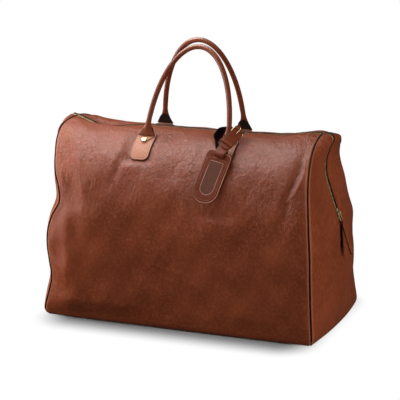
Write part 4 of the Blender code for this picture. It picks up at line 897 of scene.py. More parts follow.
# Both halves of a gusset: each is a seam's roll, then lines of leather towards the zip's slot
def gussetGrid(end):
    t = evenStations(lambda v: stacked(*gussetMiddle(end, v)), 0, last, body["rowStep"],
                     (body["slotStation"],))
    halves = {}
    for side in sideSigns:
        roll, reach = seamRoll(side, end, t, -1)
        seam = panelPoint(side, endSigns[end], t)
        slot = gussetPoint(end, side, 1, t)
        width = np.linalg.norm(slot - seam, axis=-1)
        first = (reach / width)[:, None]
        share = np.linspace(0, 1, gusset["columns"])[1:]
        w = first + (1 - first) * share
        t2 = np.repeat(t[:, None], len(share), axis=1)
        surface = lambda a, b: gussetPoint(end, side, np.clip(a, 0, 1), np.clip(b, 0, last))
        plain = surface(w, t2)
        normals = surfaceNormals(surface, np.clip(w, 0.01, 0.99), np.clip(t2, 0.01, last - 0.01))
        fromSeam = (w - first) * width[:, None]
        fromSlot = (1 - w) * width[:, None]
        y, z = plain[..., 1], plain[..., 2]
        out = unevenness(y + 0.7 * endSigns[end], z)
        for centre, size, height in gusset["mounds"][end]:
            out = out + height * moundForm(y, z, centre, size)
        out = out * smoothStep(fromSeam, 0, 0.012)
        out = out + gusset["pillow"] * (1 - np.exp(-fromSeam / gusset["pillowReach"]))
        free = np.where(t2 < body["slotStation"] - 0.5, 1, smoothStep(fromSlot, 0.004, 0.020))
        out = out * free * smoothStep(z, 0.012, 0.05) * smoothStep(last - t2, 0.0, 2.0)
        middle = plain + normals * out[..., None]
        halves[side] = roll[::-1] + list(middle.transpose(1, 0, 2))
    lines = halves["front"] + halves["rear"][::-1]
    grid = np.stack(lines, axis=1)
    kept = np.ones((len(t) - 1, len(lines) - 1), bool)
    kept[t[:-1] >= body["slotStation"] - 0.001, len(lines) // 2 - 1] = False
    return grid, kept


for end in endSigns:
    addBodyHide(end + "Gusset", end + "_gusset", *gussetGrid(end))

# Welts: a round cord of leather in the groove of each corner seam, near black as a dark dye and as
# painted shade of the groove

for side in sideSigns:
    for end in endSigns:
        t = evenStations(lambda v: panelPoint(side, endSigns[end], v), 2.5, last, 0.004)
        place, inward, _, cosine = seamFrames(side, end, t)
        centreSide = body["gap"] / 2 + body["edgeRadius"]
        centreIn = (body["edgeRadius"] + centreSide * cosine) / np.sqrt(1 - cosine ** 2)
        radius = body["weltRadius"] * 0.7  # drawn into the groove: only a thin line of it shows
        apart = body["edgeRadius"] + radius + body["gap"]
        depth = centreIn - math.sqrt(apart ** 2 - centreSide ** 2)
        path = place + inward * depth[:, None]
        addPiece(f"{side}{end.title()}Welt", skin(roundRings(path, radius, 12)), grooveShadeWeltLeather,
                 "bag", (f"{side}_{end}_welt",))
print("gussets and welts made")

# Zip: woven tapes, a row of metal teeth on each, slider, bail and a leather pull

zipper = {"chainWidth": 0.0066, "chainThick": 0.0036, "chainSink": 0.0012, "tapeReach": 0.0175,
          "tapeThick": 0.0008, "tapeSink": 0.0032, "tapeTilt": {"front": 0.0016, "rear": 0.0030},
          "tapeTail": 0.008, "stopSetback": 0.018, "toothPitch": 0.0022, "toothThick": 0.00098,
          "meet": 0.00012, "sliderStart": 0.0175, "sliderPlate": 0.0014, "sliderLug": 0.0034}


# The zip's path in the XZ plane, from the right gusset over the ridge to the left gusset
def zipPath():
    t = np.linspace(body["slotStation"], last, 180)
    right = stacked(*gussetMiddle("right", t))
    left = stacked(*gussetMiddle("left", t))[::-1]
    shares = np.linspace(1, -1, 220)
    top = panelPoint("front", shares, np.full_like(shares, last))[:, [0, 2]]
    path = np.concatenate([right[:-1], top[1:-1], left[1:]])
    length = runLength(path)
    return readAt(path, length, np.linspace(0, length[-1], int(length[-1] / 0.003)))


# A path with its two ends moved out by an amount, or in where the amount is negative
def lengthened(path, amount):
    if amount < 0:
        length = runLength(path)
        wanted = np.linspace(-amount, length[-1] + amount, len(path))
        return readAt(path, length, wanted)
    first = path[0] - unit(path[1] - path[0]) * amount
    final = path[-1] + unit(path[-1] - path[-2]) * amount
    return np.concatenate([first[None], path, final[None]])


# Outward directions along the path
def pathOutward(path):
    along = unit(np.gradient(path, axis=0))
    return stacked(along[:, 1], -along[:, 0])


# Place beside the zip's path: aside along Y, and a depth below the path
def besidePath(path, aside, depth):
    flat = path[:, None] - pathOutward(path)[:, None] * depth[None, :, None]
    return stacked(flat[..., 0], aside, flat[..., 1])


path = zipPath()
tapePath = lengthened(path, zipper["tapeTail"])
for side, sign in sideSigns.items():
    near = zipper["chainWidth"] / 2 + body["gap"]
    share = np.linspace(0, 1, 13)
    aside = near + (zipper["tapeReach"] - near) * share
    depth = zipper["tapeSink"] + zipper["tapeTilt"][side] * share
    depth = depth - 0.0005 * np.exp(-((aside - near) / 0.0009) ** 2)  # its woven edge
    grid = besidePath(tapePath, sign * aside, depth)
    shape, marks = hide(grid, zipper["tapeThick"], awayFromMiddle, edgeRings=1)
    points = shape[0]
    spread = np.zeros((len(points), 2))  # roughly the length along the zip, and across it
    spread[:, 0] = np.interp(points[:, 0] - points[:, 2], *[np.sort(v) for v in (
        tapePath[:, 0] - tapePath[:, 1], runLength(tapePath))])
    spread[:, 1] = points[:, 1]
    addPiece(side + "ZipTape", shape, zipTape, "bag", (side + "_zip_tape",),
             flat=spread)


# One tooth: a rounded block in (aside, depth), narrower at its head, as thick as half the pitch
def toothShape(sign):
    half = zipper["chainThick"] / 2
    root = zipper["chainWidth"] / 2
    tip = -zipper["meet"]
    outline = np.array([(tip, -0.45 * half), (tip + 0.0005, -0.72 * half),
                        (root - 0.0016, -0.80 * half), (root - 0.0008, -half),
                        (root, -0.8 * half), (root, 0.8 * half),
                        (root - 0.0008, half), (root - 0.0016, 0.80 * half),
                        (tip + 0.0005, 0.72 * half), (tip, 0.45 * half)])
    thick = zipper["toothThick"] / 2
    centre = outline.mean(axis=0)
    rings = []
    for along, size in ((-thick, 0.82), (-thick * 0.6, 1.0), (thick * 0.6, 1.0), (thick, 0.82)):
        ring = centre + (outline - centre) * size
        rings.append(stacked(along, sign * ring[:, 0], ring[:, 1]))
    return skin(np.array(rings))


chainPath = lengthened(path, -zipper["stopSetback"])
chainLength = runLength(chainPath)
chainOut = pathOutward(chainPath)
for side, sign in sideSigns.items():
    pitch = zipper["toothPitch"]
    count = int((chainLength[-1] - pitch) / pitch)
    wanted = (np.arange(count) + (0.25 if side == "front" else 0.75)) * pitch
    outward = unit(readAt(chainOut, chainLength, wanted))
    place = readAt(chainPath, chainLength, wanted) - outward * (
        zipper["chainSink"] + zipper["chainThick"] / 2)
    up = stacked(outward[:, 0], 0, outward[:, 1])
    along = stacked(-outward[:, 1], 0, outward[:, 0])
    aside = np.tile((0.0, 1.0, 0.0), (count, 1))
    places = stacked(place[:, 0], 0, place[:, 1])
    addPiece(side + "ZipTeeth", copies(toothShape(sign), places, along, aside, up), zipMetal, "bag",
             (side + "_zip_teeth",), sharp=30)


# Rounded rectangle as an outline, counted from the lower right corner
def roundedOutline(width, low, high, lowRadius, highRadius, steps):
    corners = ((width / 2 - lowRadius, low + lowRadius, lowRadius, -90),
               (width / 2 - highRadius, high - highRadius, highRadius, 0),
               (-width / 2 + highRadius, high - highRadius, highRadius, 90),
               (-width / 2 + lowRadius, low + lowRadius, lowRadius, 180))
    angle = np.linspace(0, 90, steps + 1)
    return np.concatenate([stacked(x + radius * np.cos(np.radians(first + angle)),
                                   y + radius * np.sin(np.radians(first + angle)))
                           for x, y, radius, first in corners])


# An outline that goes round, read again at even lengths
def evenLoop(outline, count):
    loop = np.concatenate([outline, outline[:1]])
    length = runLength(loop)
    return readAt(loop, length, np.arange(count) / count * length[-1])


runX, runZ = gussetMiddle("right", np.array(body["runStation"], float))
tilt = math.atan2(runX[1] - runX[0], runZ[1] - runZ[0])
runDirection = unit(np.array([runX[1] - runX[0], 0, runZ[1] - runZ[0]]))
sliderPlace = np.array([runX[0], 0, runZ[0]]) + runDirection * zipper["sliderStart"]
sliderFrame = turnMatrix(1, tilt, sliderPlace)

pull = {"bailLength": 0.016, "bailWidth": 0.0100, "wire": 0.0009, "length": 0.066, "width": 0.0160,
        "thick": 0.0028, "clearance": 0.0004, "lean": math.radians(19.5), "points": 90,
        "columns": 13, "stitchIn": 0.0019, "stitchPitch": 0.0028,
        "widthShares": ((-0.05, 0.35), (0.06, 0.36), (0.20, 0.66), (0.45, 0.78), (0.70, 0.92),
                        (0.86, 1.00), (0.94, 0.90), (0.985, 0.62), (1.00, 0.34))}
bailHeight = -zipper["chainSink"] + body["gap"] + zipper["sliderPlate"] + zipper["sliderLug"] / 2
bailFrame = sliderFrame @ turnMatrix(1, -pull["lean"] - tilt, (bailHeight, 0, 0))
bailShape = roundedOutline(pull["bailWidth"], -pull["bailLength"], 0, pull["bailWidth"] * 0.18,
                           pull["bailWidth"] * 0.25, 6)
bailPath = moved(bailFrame, stacked(0, bailShape[:, 0], bailShape[:, 1]))
addPiece("pullBail", skin(roundRings(bailPath, pull["wire"], 12, True, bailFrame[:3, 0]), True),
         zipMetal, "bail", ("pull_bail",))


# Half the pull's width at a share of its length
def pullHalfWidth(share):
    return np.interp(share, *np.array(pull["widthShares"]).T) * pull["width"] / 2


# The pull is one strip folded over the bail: up one face, round the wire, down the other
def pullStrip():
    around = pull["wire"] + pull["clearance"] + pull["thick"] / 2
    half = pull["thick"] / 2
    down = np.linspace(pull["length"], 0.006, pull["points"] // 2)
    angle = np.linspace(0, math.pi, 15)
    front = stacked(half + (around - half) * smoothStep(-down, -0.011, -0.004), -down)
    bend = stacked(around * np.cos(angle), around * np.sin(angle))
    line = np.concatenate([front, bend, front[::-1] * (-1, 1)])
    return line, pullHalfWidth(np.clip(-line[:, 1] / pull["length"], -0.05, 1))


line, halfWidth = pullStrip()
across = np.linspace(-1, 1, pull["columns"])
grid = stacked(line[:, :1], halfWidth[:, None] * across, line[:, 1:])
pullFrame = bailFrame @ turnMatrix(1, 0, (0, 0, -pull["bailLength"]))
outwards = lambda points: points * (1, 0, 0) + (points[:, 2:] > 0) * points * (0, 0, 1)
addHide("zipPull", grid, pull["thick"] / 2 - 0.00005, outwards, pullLeather, "pull", "zip_pull",
        pullFrame)
rows = []
for face in (1, -1):
    share = np.linspace(0.14, 0.965, 60)
    edge = stacked(face * pull["thick"] / 2, pullHalfWidth(share) - pull["stitchIn"],
                   -share * pull["length"])
    loop = np.concatenate([edge, (edge * (1, -1, 1))[::-1]])
    normal = np.tile(pullFrame[:3, 0] * face, (len(loop), 1))
    rows.append(stitchLine(moved(pullFrame, loop), normal, pull["stitchPitch"]))
addPiece("zipPullStitches", joined(rows), bodyThread, "pull")
print("zip made")

# Tabs, tongues and studs under the ends of the handles

tongue = {"back": 0.005, "front": 0.018, "tip": 0.0036, "thick": 0.0014,
          # places along its front and half widths there as shares of the handle's foot, to the tip
          "places": (-0.28, 0.08, 0.36, 0.64, 0.92, 1.0), "halfWidths": (0.46, 0.46, 0.33, 0.20)}
stud = {"setback": 0.0115, "head": 0.0052, "dome": 0.0020, "shank": 0.0011, "tail": 0.0012,
        "washer": 0.0010,
        # radius and height of the rolled rim and the dish inside it, as shares of head and dome
        "rim": ((0.01, 0.46), (0.22, 0.44), (0.42, 0.50), (0.52, 0.74), (0.62, 0.94), (0.74, 1.00),
                (0.86, 0.90), (0.95, 0.60), (1.00, 0.25), (0.96, 0.0))}
tabLow = body["gap"]
tongueLow = tabLow + tab["thick"] + body["gap"]
studLow = tongueLow + tongue["thick"] + body["gap"]
foldHeight = studLow + handle["flareThick"] / 2


# Half widths of a rectangle whose corners are quarter circles, at distances along it
def roundedHalfWidths(distance, low, high, half, radius):
    inset = np.clip(radius - np.minimum(distance - low, high - distance), 0, radius)
    return half - radius + np.sqrt(radius ** 2 - inset ** 2)


# Distances from low to high, closer together towards both ends: half a cosine wave
def endedRows(low, high, count):
    return low + (high - low) * (1 - np.cos(math.pi * np.linspace(0, 1, count))) / 2


# A pressed line a little inside the edge, as a lowering of the surface
def pressedLine(fromEdge, place, depth=0.00035, width=0.00045):
    return -depth * np.exp(-((fromEdge - place) / width) ** 2)


# What holds one end of a handle: tab, stitches, the foot's tongue, stud and washer
def makeTab(side, end, centre):
    label = f"{side}_{end}"
    title = side + end.title()
    distance = endedRows(-tab["back"], tab["front"], 64)
    half = roundedHalfWidths(distance, -tab["back"], tab["front"], tab["width"] / 2, tab["corner"])
    across = np.sin(np.linspace(-1, 1, 27) * math.pi / 2)
    x = centre + half[:, None] * across
    down = distance[:, None]
    fromEdge = np.minimum(half[:, None] * (1 - np.abs(across)),
                          np.minimum(tab["front"] - down, down + tab["back"]))
    height = tabLow + tab["thick"] + pressedLine(fromEdge, tab["line"])
    grid, normal = onPanel(side, x, down, height)
    addHide(title + "Tab", grid, tab["thick"], normal[30, 13], tabLeather, "bag", label + "_tab")
    inset, steps = tab["stitchIn"], 8
    outline = roundedOutline(tab["width"] - 2 * inset, inset - tab["front"], 0,
                             tab["corner"] - inset, 0.001, steps)
    outline = np.concatenate([outline[-steps - 1:], outline[:steps + 1]])  # round the lower end
    length = runLength(outline)
    outline = readAt(outline, length, np.linspace(0, length[-1], 80))
    edge, up = onPanel(side, centre + outline[:, 0], -outline[:, 1], tabLow + tab["thick"])
    addPiece(title + "TabStitches", stitchLine(edge, up), tabThread, "bag")
    distance = np.linspace(-tongue["back"], tongue["front"], 22)
    tip = tongue["tip"] / handle["flareWidth"]
    widths = np.interp(distance / tongue["front"], tongue["places"],
                       tongue["halfWidths"] + (tip, tip / 2)) * handle["flareWidth"]
    x = centre + widths[:, None] * np.linspace(-1, 1, 15)
    grid, normal = onPanel(side, x, distance[:, None], tongueLow + tongue["thick"])
    addHide(title + "Tongue", grid, tongue["thick"], normal[10, 7], tongueLeather, "bag",
            label + "_tongue")
    place, up = onPanel(side, centre, stud["setback"], 0)
    head, dome, shank = stud["head"], stud["dome"], stud["shank"]
    tail = -body["leather"] - 3 * body["gap"] - stud["washer"]
    profile = [(head * out, studLow + dome * high) for out, high in stud["rim"]]
    profile += [(shank, studLow), (shank, tail), (shank + 3 * body["gap"], tail),
                (shank, tail - stud["tail"])]
    addPiece(title + "Stud", turned(profile, place, up, 36), studBrass, "bag", (label + "_stud",),
             sharp=60)
    coat(label + "_washer", washerSteel)


for side in sideSigns:
    for end, centre in handleEnds[side].items():
        makeTab(side, end, centre)
print("tabs and studs made")

# Handles: leather rolled round a rope, flaring to a flat foot at each end

# The roll's radius, growing to the foot's half width as the power 1.8 of the way down the flare
def flareHalfWidth(rise):
    share = np.clip(1 - rise / handle["flareRise"], 0, 1)
    return handle["radius"] + (handle["flareWidth"] / 2 - handle["radius"]) * share ** 1.8


# Smooth step from half the foot's thickness to the roll's radius, up the flare
def flareHalfThick(rise):
    share = np.clip(rise / handle["flareRise"], 0, 1)
    flat = handle["flareThick"] / 2
    return flat + (handle["radius"] - flat) * (3 * share ** 2 - 2 * share ** 3)


# Half an ellipse of the handle's span and rise, stood on its fold
def handlePath(angles):
    return stacked(handle["span"] / 2 * np.cos(angles), 0, handle["rise"] * np.sin(angles))


# Ring round the handle's path: W cos(a) aside and T sin(a) across, where the flare's T is the thin
# lip at its sides and the full roll in its middle; a low seam stands along the inner side
def handleRings():
    angles = np.linspace(0, math.pi, 2000)
    length = runLength(handlePath(angles))
    near = 0.5 - 0.5 * np.cos(math.pi * np.linspace(0, 1, handle["points"]))
    wanted = length[-1] * (0.6 * near + 0.4 * np.linspace(0, 1, handle["points"]))
    path = handlePath(np.interp(wanted, length, angles))
    along = unit(np.gradient(path, axis=0))
    sideways = unit(np.cross((0.0, 1.0, 0.0), along))
    rise = path[:, 2]
    turn = 2 * math.pi * (np.arange(handle["sides"]) + 0.5) / handle["sides"]
    aside = flareHalfWidth(rise)[:, None] * np.cos(turn)
    grown = smoothStep(rise, 0, handle["flareRise"])[:, None]
    middle = np.exp(-(aside / (handle["radius"] * 1.05)) ** 4)
    share = 1 - (1 - grown) * (1 - middle)
    thick = handle["lip"] + (flareHalfThick(rise)[:, None] - handle["lip"]) * share
    across = thick * np.sin(turn)
    inner = np.sign(np.sum(sideways * (path - (0, 0, handle["rise"] * 0.3)), axis=1))[:, None]
    seam = np.exp(-((np.abs(np.cos(turn) * -inner - 1)) / 0.05) ** 2)
    aside = aside - inner * 0.0007 * seam * smoothStep(rise, 0.02, 0.045)[:, None]
    rings = path[:, None] + aside[..., None] * sideways[:, None]
    rings[..., 1] += across
    feet = []
    for index in (0, -1):
        foot = []
        for down, size in ((1.0, 0.35), (0.90, 0.55), (0.6, 0.8), (0.25, 0.97)):
            ring = rings[index].copy()
            ring[:, 1] *= size
            ring[:, 2] = -down * handle["flareThick"] / 2
            foot.append(ring)
        feet.append(np.array(foot if index == 0 else foot[::-1]))
    outer = -inner * sideways
    return np.concatenate([feet[0], rings, feet[1]]), path, outer, rise


# A handle leaning from its fold, with stitches along the inner side and a facing behind each foot
def makeHandle(side):
    innerSide = -sideSigns[side]
    folds = [onPanel(side, centre, 0, foldHeight)[0] for centre in handleEnds[side].values()]
    place = (handle["centre"][side], folds[0][1], max(fold[2] for fold in folds))
    handleFrame = turnMatrix(0, sideSigns[side] * handle["lean"][side], place)
    rides = side + "_handle"
    rings, path, inward, rise = handleRings()
    # The mark makes the top of the roll paler
    paleWearAndHighlight = np.repeat(smoothStep(rings[..., 2].max(axis=1), 0.150, 0.176) * 0.35, rings.shape[1])
    addPiece(side + "Handle", placed(handleFrame, skin(rings)), handleLeather, rides,
             (side + "_handle",), marks={"wearAndHighlight": paleWearAndHighlight})
    high = rise > handle["stitchStart"]
    rows = []
    for aside in (handle["stitchAside"], -handle["stitchAside"]):
        reach = math.sqrt(handle["radius"] ** 2 - aside ** 2)
        line = path[high] + inward[high] * reach + (0, aside, 0)
        normal = inward[high] * reach + (0, aside, 0)
        rows.append(stitchLine(moved(handleFrame, line), normal @ handleFrame[:3, :3].T,
                               handle["stitchPitch"]))
    addPiece(side + "HandleStitches", joined(rows), bodyThread, rides)
    for end, sign in endSigns.items():
        rises = np.linspace(0.02, 1.0, 26) * handle["facingRise"]
        half = flareHalfWidth(rises) + handle["facingOver"]
        past = np.clip(1 - (handle["facingRise"] - rises) / handle["facingRound"], 0, 1)
        half = half * np.clip(np.sqrt(1 - past ** 2), 0.3, 1)  # its top is rounded to a dome
        x = handle["span"] / 2 * np.cos(np.arcsin(rises / handle["rise"]))
        aside = half[:, None] * np.linspace(-1, 1, 17)
        off = flareHalfThick(rises)[:, None] + body["gap"] + handle["facingThick"]
        grid = stacked(sign * (x[:, None] + aside), innerSide * off, rises[:, None])
        addHide(f"{side}{end.title()}Facing", grid, handle["facingThick"], (0, innerSide, 0),
                blackLeather, rides, f"{side}_{end}_facing", handleFrame)
    coat(side + "_handle_core", ropeCore)
    return np.array((handleEnds[side]["right"], place[1], place[2]))


foldPlaces = {side: makeHandle(side) for side in sideSigns}
print("handles made")

# Luggage tag: a window layer over a backing, on a strap buckled round the front handle

tag = {"width": 0.048, "above": 0.0100, "below": 0.0870, "topCorner": 0.009, "layer": 0.0015,
       "slotWidth": 0.0205, "slotTop": 0.0019, "slotLow": 0.0022, "axisAbove": 0.0061,
       "turn": math.radians(12.4), "slope": math.radians(27.6), "bendStart": math.radians(27),
       "windowWidth": 0.025, "windowStart": 0.009, "windowEnd": 0.071, "around": 220,
       "hingeShares": (-0.11, -1.67, -0.86),
       # pressed lines: how far in from the rim and from the window, then depth and width of both
       "rimLine": 0.0022, "windowLine": 0.0018, "press": (0.0005, 0.0006),
       "stitchIn": 0.0044, "stitchPitch": 0.0030}
strap = {"width": 0.018, "thick": 0.0018, "reach": 0.020, "tail": 0.035, "keeperDown": 0.0185,
         "keeperLength": 0.008, "keeperThick": 0.0011, "wire": 0.0009, "buckleLength": 0.0115,
         "buckleRoom": 0.0008, "prong": 0.0006, "lineIn": 0.0016, "tipLength": 0.006}
frontLegShares = (((0.780, -0.160, 0.700), (0.786, 0.137, -0.602)),
                  ((0.495, -0.720, 0.265), (0.850, 0.060, -0.520)),
                  ((0.205, -1.290, -0.175), (0.930, -0.020, -0.370)))
loopShares = (((-0.060, -1.240, -0.700), (0.960, -0.080, -0.260)),
              ((-0.520, -0.880, -0.250), (0.780, -0.040, -0.620)),
              ((-0.975, -0.500, 0.140), (0.500, 0.000, -0.860)),
              ((-1.130, 0.140, 0.300), (0.220, 0.000, -0.975)),
              ((-1.060, 0.820, 0.540), (0.100, 0.000, -0.990)),
              ((-0.650, 1.190, 0.600), (0.000, 0.000, -1.000)),
              ((0.600, 1.140, 0.680), (0.000, 0.000, -1.000)),
              ((1.130, 0.560, 1.120), (0.500, 0.100, -0.860)))
fold = foldPlaces["front"]
tagPlace = fold + np.array(tag["hingeShares"]) * strap["reach"]
tagFrame = turnMatrix(0, -tag["slope"], tagPlace) @ turnMatrix(1, tag["turn"])
slotHeight = -tag["axisAbove"]


# Ring of leather between two outlines: lines of points from the outer one to the inner one
def ringGrid(outer, inner, shares, height):
    share = np.asarray(shares)[:, None, None]
    flat = outer[None] + (inner - outer)[None] * share
    gap = np.linalg.norm(inner - outer, axis=1)[None]
    up = height(gap * share[..., 0], gap * (1 - share[..., 0]))
    return stacked(flat[..., 0], up, flat[..., 1])


def cutBox(piece, low, high, matrix):
    x, y, z = [np.array(pair) for pair in zip(low, high)]
    corners = np.array([(x[i], y[j], z[k]) for i, j, k in (
        (0, 0, 0), (1, 0, 0), (1, 1, 0), (0, 1, 0), (0, 0, 1), (1, 0, 1), (1, 1, 1), (0, 1, 1))])
    faces = [(3, 2, 1, 0), (4, 5, 6, 7), (0, 1, 5, 4), (1, 2, 6, 5), (2, 3, 7, 6), (3, 0, 4, 7)]
    mesh = bpy.data.meshes.new("slotTool")
    mesh.from_pydata(moved(matrix, corners).tolist(), [], faces)
    tool = putObject("slotTool", mesh)
    change = piece.modifiers.new("slot", "BOOLEAN")
    change.operation = "DIFFERENCE"
    change.object = tool
    bpy.context.view_layer.update()
    finished = piece.evaluated_get(bpy.context.evaluated_depsgraph_get())
    result = bpy.data.meshes.new_from_object(finished)
    piece.modifiers.remove(change)
    piece.data = result
    bpy.data.objects.remove(tool)


outline = roundedOutline(tag["width"], slotHeight - tag["below"], slotHeight + tag["above"],
                         tag["width"] * 0.46, tag["topCorner"], 24)
window = roundedOutline(tag["windowWidth"], slotHeight - tag["windowEnd"],
                        slotHeight - tag["windowStart"], tag["windowWidth"] * 0.49, 0.002, 24)
outerLoop = evenLoop(outline, tag["around"])
windowLoop = evenLoop(window, tag["around"])


# The window layer's outside, pressed in along a line by the rim and one by the window
def tagHeight(fromOuter, fromWindow):
    low = -body["gap"] / 2 - tag["layer"]
    return low - pressedLine(fromOuter, tag["rimLine"], *tag["press"]) - pressedLine(
        fromWindow, tag["windowLine"], *tag["press"])


shares = np.concatenate([np.linspace(0, 0.38, 16), np.linspace(0.42, 0.60, 5),
                         np.linspace(0.64, 1, 14)])
shape, marks = hide(ringGrid(outerLoop, windowLoop, shares, tagHeight), tag["layer"], (0, -1, 0),
                    around=True)
fromOuter = np.linalg.norm(windowLoop - outerLoop, axis=1) * shares[:, None]
fromWindow = np.linalg.norm(windowLoop - outerLoop, axis=1) * (1 - shares[:, None])
# Painted highlights: a pale line along the tag's rim, stronger towards the right, and one round the
# window
paleWearAndHighlight = np.interp(outerLoop[:, 0], (-0.4 * tag["width"], 0.3 * tag["width"]), (0.3, 1))
paintedRimHighlight = np.exp(-(fromOuter / 0.0007) ** 2) * paleWearAndHighlight  # painted highlight along the rim, weaker at the left side, away from the light
paintedRimHighlight = paintedRimHighlight + 0.6 * np.exp(-((fromWindow - 0.0006) / 0.0006) ** 2)
marks["wearAndHighlight"] = np.zeros(len(marks["edge"]))
marks["wearAndHighlight"][:paintedRimHighlight.size] = np.clip(paintedRimHighlight, 0, 0.9).ravel()
tagFront = addPiece("tagFront", placed(tagFrame, shape), tagLeather, "tag", ("tag_front",),
                    marks=marks)
slotBox = ((-tag["slotWidth"] / 2, -0.004, slotHeight - tag["slotLow"]),
           (tag["slotWidth"] / 2, 0.004, slotHeight + tag["slotTop"]))
cutBox(tagFront, *slotBox, tagFrame)

low = slotHeight - tag["below"]
slotLoop = evenLoop(roundedOutline(tag["slotWidth"], slotBox[0][2], slotBox[1][2], 0.0004,
                                   0.0004, 24), tag["around"])
grid = ringGrid(outerLoop, slotLoop, np.linspace(0, 1, 46), lambda a, b: body["gap"] / 2)
tagBack = addHide("tagBack", grid, -tag["layer"], (0, -1, 0), tagLeather, "tag", "tag_back",
                  tagFrame, around=True)
tagBack.data.materials.append(windowLeather)


# Faces of a piece for which a test of their middles and directions holds get its second material
def secondMaterial(piece, test):
    count = len(piece.data.polygons)
    centres, looks = np.zeros(count * 3, np.float32), np.zeros(count * 3, np.float32)
    piece.data.polygons.foreach_get("center", centres)
    piece.data.polygons.foreach_get("normal", looks)
    chosen = test(centres.reshape(-1, 3), looks.reshape(-1, 3))
    piece.data.polygons.foreach_set("material_index", chosen.astype(np.int32))
    piece.data.update()


def inWindow(centres, looks):
    flat = (centres - tagFrame[:3, 3]) @ tagFrame[:3, :3]
    return (np.abs(flat[:, 0]) < tag["windowWidth"] / 2 + 0.003) & (
        flat[:, 2] < slotHeight - tag["windowStart"] + 0.002) & (
        flat[:, 2] > slotHeight - tag["windowEnd"] - 0.003) & (looks @ tagFrame[:3, 1] < 0)


secondMaterial(tagBack, inWindow)
inset = tag["stitchIn"]
loop = evenLoop(roundedOutline(tag["width"] - 2 * inset, low + inset, slotHeight - 0.0032,
                               tag["width"] * 0.46 - inset, 0.003, 16), 240)
line = stacked(loop[:, 0], tagHeight(inset, 0.01), loop[:, 1])
line = np.concatenate([line, line[:1]])
normal = np.tile(-tagFrame[:3, 1], (len(line), 1))
addPiece("tagStitches", stitchLine(moved(tagFrame, line), normal, tag["stitchPitch"]), bodyThread,
         "tag")
print("tag made")


# The strap's path: down its front layer from the buckle, round in the tag's slot, up behind,
# round the handle's foot and back over the front layer

# Directions along a path, across it and out of it, square to each other
def strapFrames(places, across):
    along = unit(np.gradient(places, axis=0))
    across = unit(across - along * np.sum(across * along, axis=1, keepdims=True))
    return along, across, unit(np.cross(along, across))


# Rows of a table with a number of steps of a smooth curve between each two
def eased(table, steps):
    t = np.linspace(0, len(table) - 1, steps * (len(table) - 1) + 1)
    return stacked(*[through(column, t) for column in np.array(table, float).T])


# Places as shares of the reach from the handle's fold, each with the strap's direction across
def strapStations(shares):
    return [tuple(fold + np.array(place) * strap["reach"]) + wide for place, wide in shares]


def strapPath():
    across, inward, up = tagFrame[:3, 0], tagFrame[:3, 1], tagFrame[:3, 2]
    angles = np.linspace(-tag["bendStart"], math.pi, 30)[:, None]
    bend = tagPlace - tag["axisAbove"] * (np.cos(angles) * inward + np.sin(angles) * up)
    run = eased(strapStations(frontLegShares) + [tuple(bend[0]) + tuple(across)], 12)
    front, frontWide = run[:, :3], unit(run[:, 3:])
    frontAlong, frontWide, frontOut = strapFrames(front, frontWide)
    lift = strap["thick"] + body["gap"]
    upper = front + frontOut * lift
    reach = strap["buckleLength"] + 3 * strap["wire"]
    loop = eased([tuple(bend[-1]) + tuple(across)] + strapStations(loopShares)
                 + [tuple(upper[0] - frontAlong[0] * reach) + tuple(frontWide[0])], 10)[1:]
    length = runLength(front)
    wanted = np.linspace(0, strap["tail"], 30)
    tail = readAt(upper, length, wanted)
    tailWide = unit(readAt(frontWide, length, wanted))
    tailOut = unit(readAt(frontOut, length, wanted))
    places = np.concatenate([front, bend[1:], loop[:, :3], tail])
    wide = np.concatenate([frontWide, np.repeat(across[None], len(bend) - 1, axis=0),
                           unit(loop[:, 3:]), tailWide])
    _, wide, out = strapFrames(places, wide)
    wide[:len(front)], out[:len(front)] = frontWide, frontOut
    wide[-len(tail):], out[-len(tail):] = tailWide, tailOut
    return places, wide, out, (front, frontWide, frontOut, frontAlong, length)


places, wide, out, (front, frontWide, frontOut, frontAlong, legLength) = strapPath()
length = runLength(places)
fromTip = (length[-1] - length) / strap["tipLength"]
half = strap["width"] / 2 * np.sqrt(1 - np.clip(1 - fromTip, 0, 1) ** 2 * 0.85)
across = np.linspace(-1, 1, 13)
fromEdge = half[:, None] * (1 - np.abs(across))
lift = strap["thick"] / 2 + pressedLine(fromEdge, strap["lineIn"], 0.00025, 0.0004)
grid = (places[:, None] + wide[:, None] * (half[:, None] * across)[..., None]
        + out[:, None] * lift[..., None])
nearest = lambda points: out[np.argmin(np.linalg.norm(points[:, None] - places, axis=2), axis=1)]
tagStrap = addHide("tagStrap", grid, strap["thick"], nearest, tagLeather, "bag", "tag_strap")
# Its inner faces are near black
tagStrap.data.materials.append(blackLeather)
secondMaterial(tagStrap, lambda centres, looks: np.sum(looks * nearest(centres), axis=1) < -0.5)

strapFrame = np.eye(4)
strapFrame[:3, :3] = stacked(-frontWide[0], frontOut[0], -frontAlong[0])
strapFrame[:3, 3] = front[0] - frontAlong[0] * (strap["wire"] + body["gap"])
overlap = strap["thick"] + body["gap"]
room = strap["prong"] + 2 * body["gap"]
cutBox(tagStrap, (-room, -overlap, -2 * strap["prong"] - strap["wire"] - 3 * body["gap"]),
       (room, overlap * 2, strap["buckleLength"] * 0.56), strapFrame)


